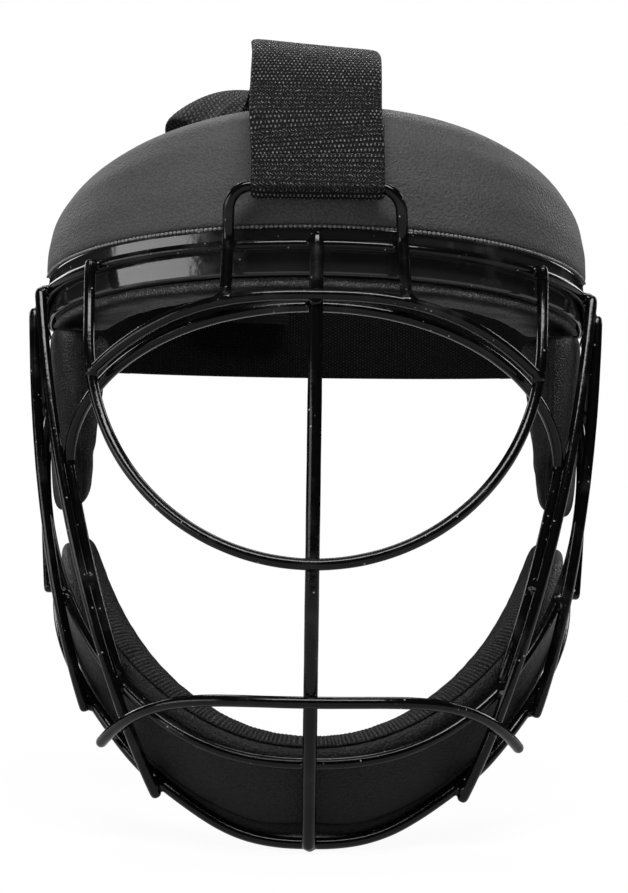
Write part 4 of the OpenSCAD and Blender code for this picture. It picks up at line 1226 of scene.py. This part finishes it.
turns = np.linspace(-80, 80, 300)
pad_edge = [strip_point(a, pad_out + 0.1, pad_shelf(a) - 0.3) for a in turns]
pad_edge_outs = [strip_point(a, 1, 0) - strip_point(a, 0, 0) for a in turns]
# These stitches use the cord whose pale colour is partly a painted highlight
stitches("brow_pad_stitches", pad_edge, pad_edge_outs, PAD_STITCH, pad_cord_paled_as_painted_highlight, "cage", "foam")
print("pad stitched")

# %% Seams of the top strap and the tabs
TOP_SEAMS, TAB_SEAMS = (98.5, 100.7, 113.0, 115.4), (13.5, 6.5)
STRAP_INSET, TAB_INSET, PROUD = 2.5, 2, 0.1
front_rows = [i for i in range(len(centres)) if centres[i][1] < loop_y - 1]
t = np.linspace(-1, 1, 40)[:, None] * (1 - 2 * STRAP_INSET / STRAP_W)
for number, height in enumerate(TOP_SEAMS):
    row = min(front_rows, key=lambda i: abs(centres[i][2] - height))
    out = np.cross(across[row], along[row])
    lift = WEBBING_T / 2 + PROUD + 0.02 - arch[row] * t**2
    line = centres[row] + across[row] * t * STRAP_W / 2 + out * lift
    stitches(f"top_strap_stitches_{number + 1}", line, np.tile(out, (len(line), 1)), STRAP_STITCH,
             thread, "crown_strap", "webbing")

heights = rivet_z + np.linspace(-TAB_W / 2 + TAB_INSET, TAB_W / 2 - TAB_INSET, 20)
faces = (("outer", 1, tab_x + WEBBING_T / 2 + PROUD), ("inner", -1, fold_x - WEBBING_T / 2 - PROUD))
for side, word in BOTH_SIDES:
    for number, back in enumerate(TAB_SEAMS):
        for face, way, x in faces:
            line = [(side * x, ring_front_y - back, z) for z in heights]
            stitches(f"tab_stitches_{face}_{word}_{number + 1}", line, [(side * way, 0, 0)] * len(line),
                     STRAP_STITCH, thread, "harness", "webbing")
print("seams sewn")

# %% [markdown]
# ## Floor and world
# The guard stands on a plain pale floor in soft light. The white round it is the colour that
# the camera, and glossy surfaces, see in the world and the floor. The world's own light on the
# guard is low and even from all sides.


# %% Floor
def sees_white(finish):
    """1 for rays from the camera and for reflections, where the surroundings show as white."""
    seen = [finish.node("ShaderNodeLightPath", output=ray)
            for ray in ("Is Camera Ray", "Is Glossy Ray", "Is Transmission Ray")]
    return seen[0].math("MAXIMUM", seen[1]).math("MAXIMUM", seen[2])


FLOOR_HALF, FLOOR_DROP = 20000, 0.3
floor_paint = Finish("pale_floor", Roughness=0.9, Base_Color=(0.55, 0.55, 0.55, 1))
glow = floor_paint.node("ShaderNodeEmission", None, {"Color": (1, 1, 1, 1), "Strength": 1.0})
length = {"operation": "LENGTH"}
away = floor_paint.node("ShaderNodeVectorMath", length, [floor_paint.place()], output="Value")
share = sees_white(floor_paint) * (0.93 + away.ramp(0.12, 0.4) * 0.07)
paint = Field(floor_paint, floor_paint.shader.outputs[0])
mixed = floor_paint.node("ShaderNodeMixShader", None, [share, paint, glow])
floor_paint.feed(floor_paint.tree.nodes["Material Output"].inputs["Surface"], mixed)
floor_z = cad_box[0][2] / MM - FLOOR_DROP
corners = [(x * FLOOR_HALF, y * FLOOR_HALF, floor_z) for x, y in ((-1, -1), (1, -1), (1, 1), (-1, 1))]
floor = new_piece("floor", corners, [(0, 1, 2, 3)], floor_paint.material)
print("floor at", round(floor_z, 1), "mm")

# %% World
AMBIENT = 0.07
studio = Finish("studio", world=bpy.data.worlds.new("studio"), Color=(1, 1, 1, 1))
studio.feed(studio.shader.inputs["Strength"], sees_white(studio) * (1 - AMBIENT) + AMBIENT)
bpy.context.scene.world = studio.material
print("light from all sides:", AMBIENT)

# %% [markdown]
# ## Dark cards
# Gloss shows what stands around it. A wall of dark cards stands round the guard where a studio
# would have it, so that the coat reflects black between the lamps, and each lamp is a thin
# bright line along a wire. The camera doesn't see the cards, and they take away no light.

# %% Dark surround
# The wall's radius at each height, in millimetres: it leans in above the guard
WALL = [(2600, -100), (2600, 1500), (2080, 3200), (1300, 4200)]
turns = range(0, 361, 6)
points = [(r * cos(a), r * sin(a), z) for r, z in WALL for a in turns]
card = Finish("dark_card", Roughness=1.0, Specular_IOR_Level=0.0, Base_Color=(0.01, 0.01, 0.01, 1))
surround = new_piece("dark_surround", points, quads(len(WALL), len(turns), closed=False), card.material)
surround.visible_camera = surround.visible_diffuse = surround.visible_shadow = False
print("surround:", len(points), "points")

# %% [markdown]
# ## Lamps and camera
# Five lamps light the guard: two in front, two behind and one above. The camera stands level
# with the eyes and 758 mm in front of the head, and its lens fits the outlines of the cage.

# %% Lamps
# Place and size in metres, and watts
LAMPS = {
    "left_softbox": ((-1.13, -0.65, 0.18), (0.9, 0.45), 8),
    "front_softbox": ((0.12, -0.76, 1.12), (1.1, 0.35), 33),
    "rear_left_lamp": ((-1.05, 0.9, 0.62), (0.6, 0.7), 9),
    "rear_right_lamp": ((1.05, 0.85, 0.62), (0.5, 0.7), 8),
    "overhead_lamp": ((0, 0.8, 1.1), (1.4, 0.4), 15),
}
for name, (place, size_m, watts) in LAMPS.items():
    light = bpy.data.lights.new(name, "AREA")
    light.shape, light.energy = "RECTANGLE", watts
    light.size, light.size_y = size_m
    lamp = in_scene(name, light)
    lamp.location = place
    lamp.rotation_euler = (-Vector(place)).to_track_quat("-Z", "Y").to_euler()
print("lamps:", len(LAMPS))

# %% Camera
FOCAL_PX, IMAGE_H, CAMERA_Y, CAMERA_ROLL = 2000, 893, -0.758, -0.8
camera_data = bpy.data.cameras.new("camera")
camera_data.sensor_width = 36
camera_data.lens = camera_data.sensor_width * FOCAL_PX / IMAGE_H
camera_data.clip_start, camera_data.clip_end = 0.05, 50
camera = in_scene("camera", camera_data)
camera.location = (0, CAMERA_Y, 0)
camera.rotation_euler = (math.radians(90), math.radians(CAMERA_ROLL), 0)
bpy.context.scene.camera = camera
bpy.context.scene.view_settings.view_transform = "Standard"
print("lens:", round(camera_data.lens, 2), "mm")
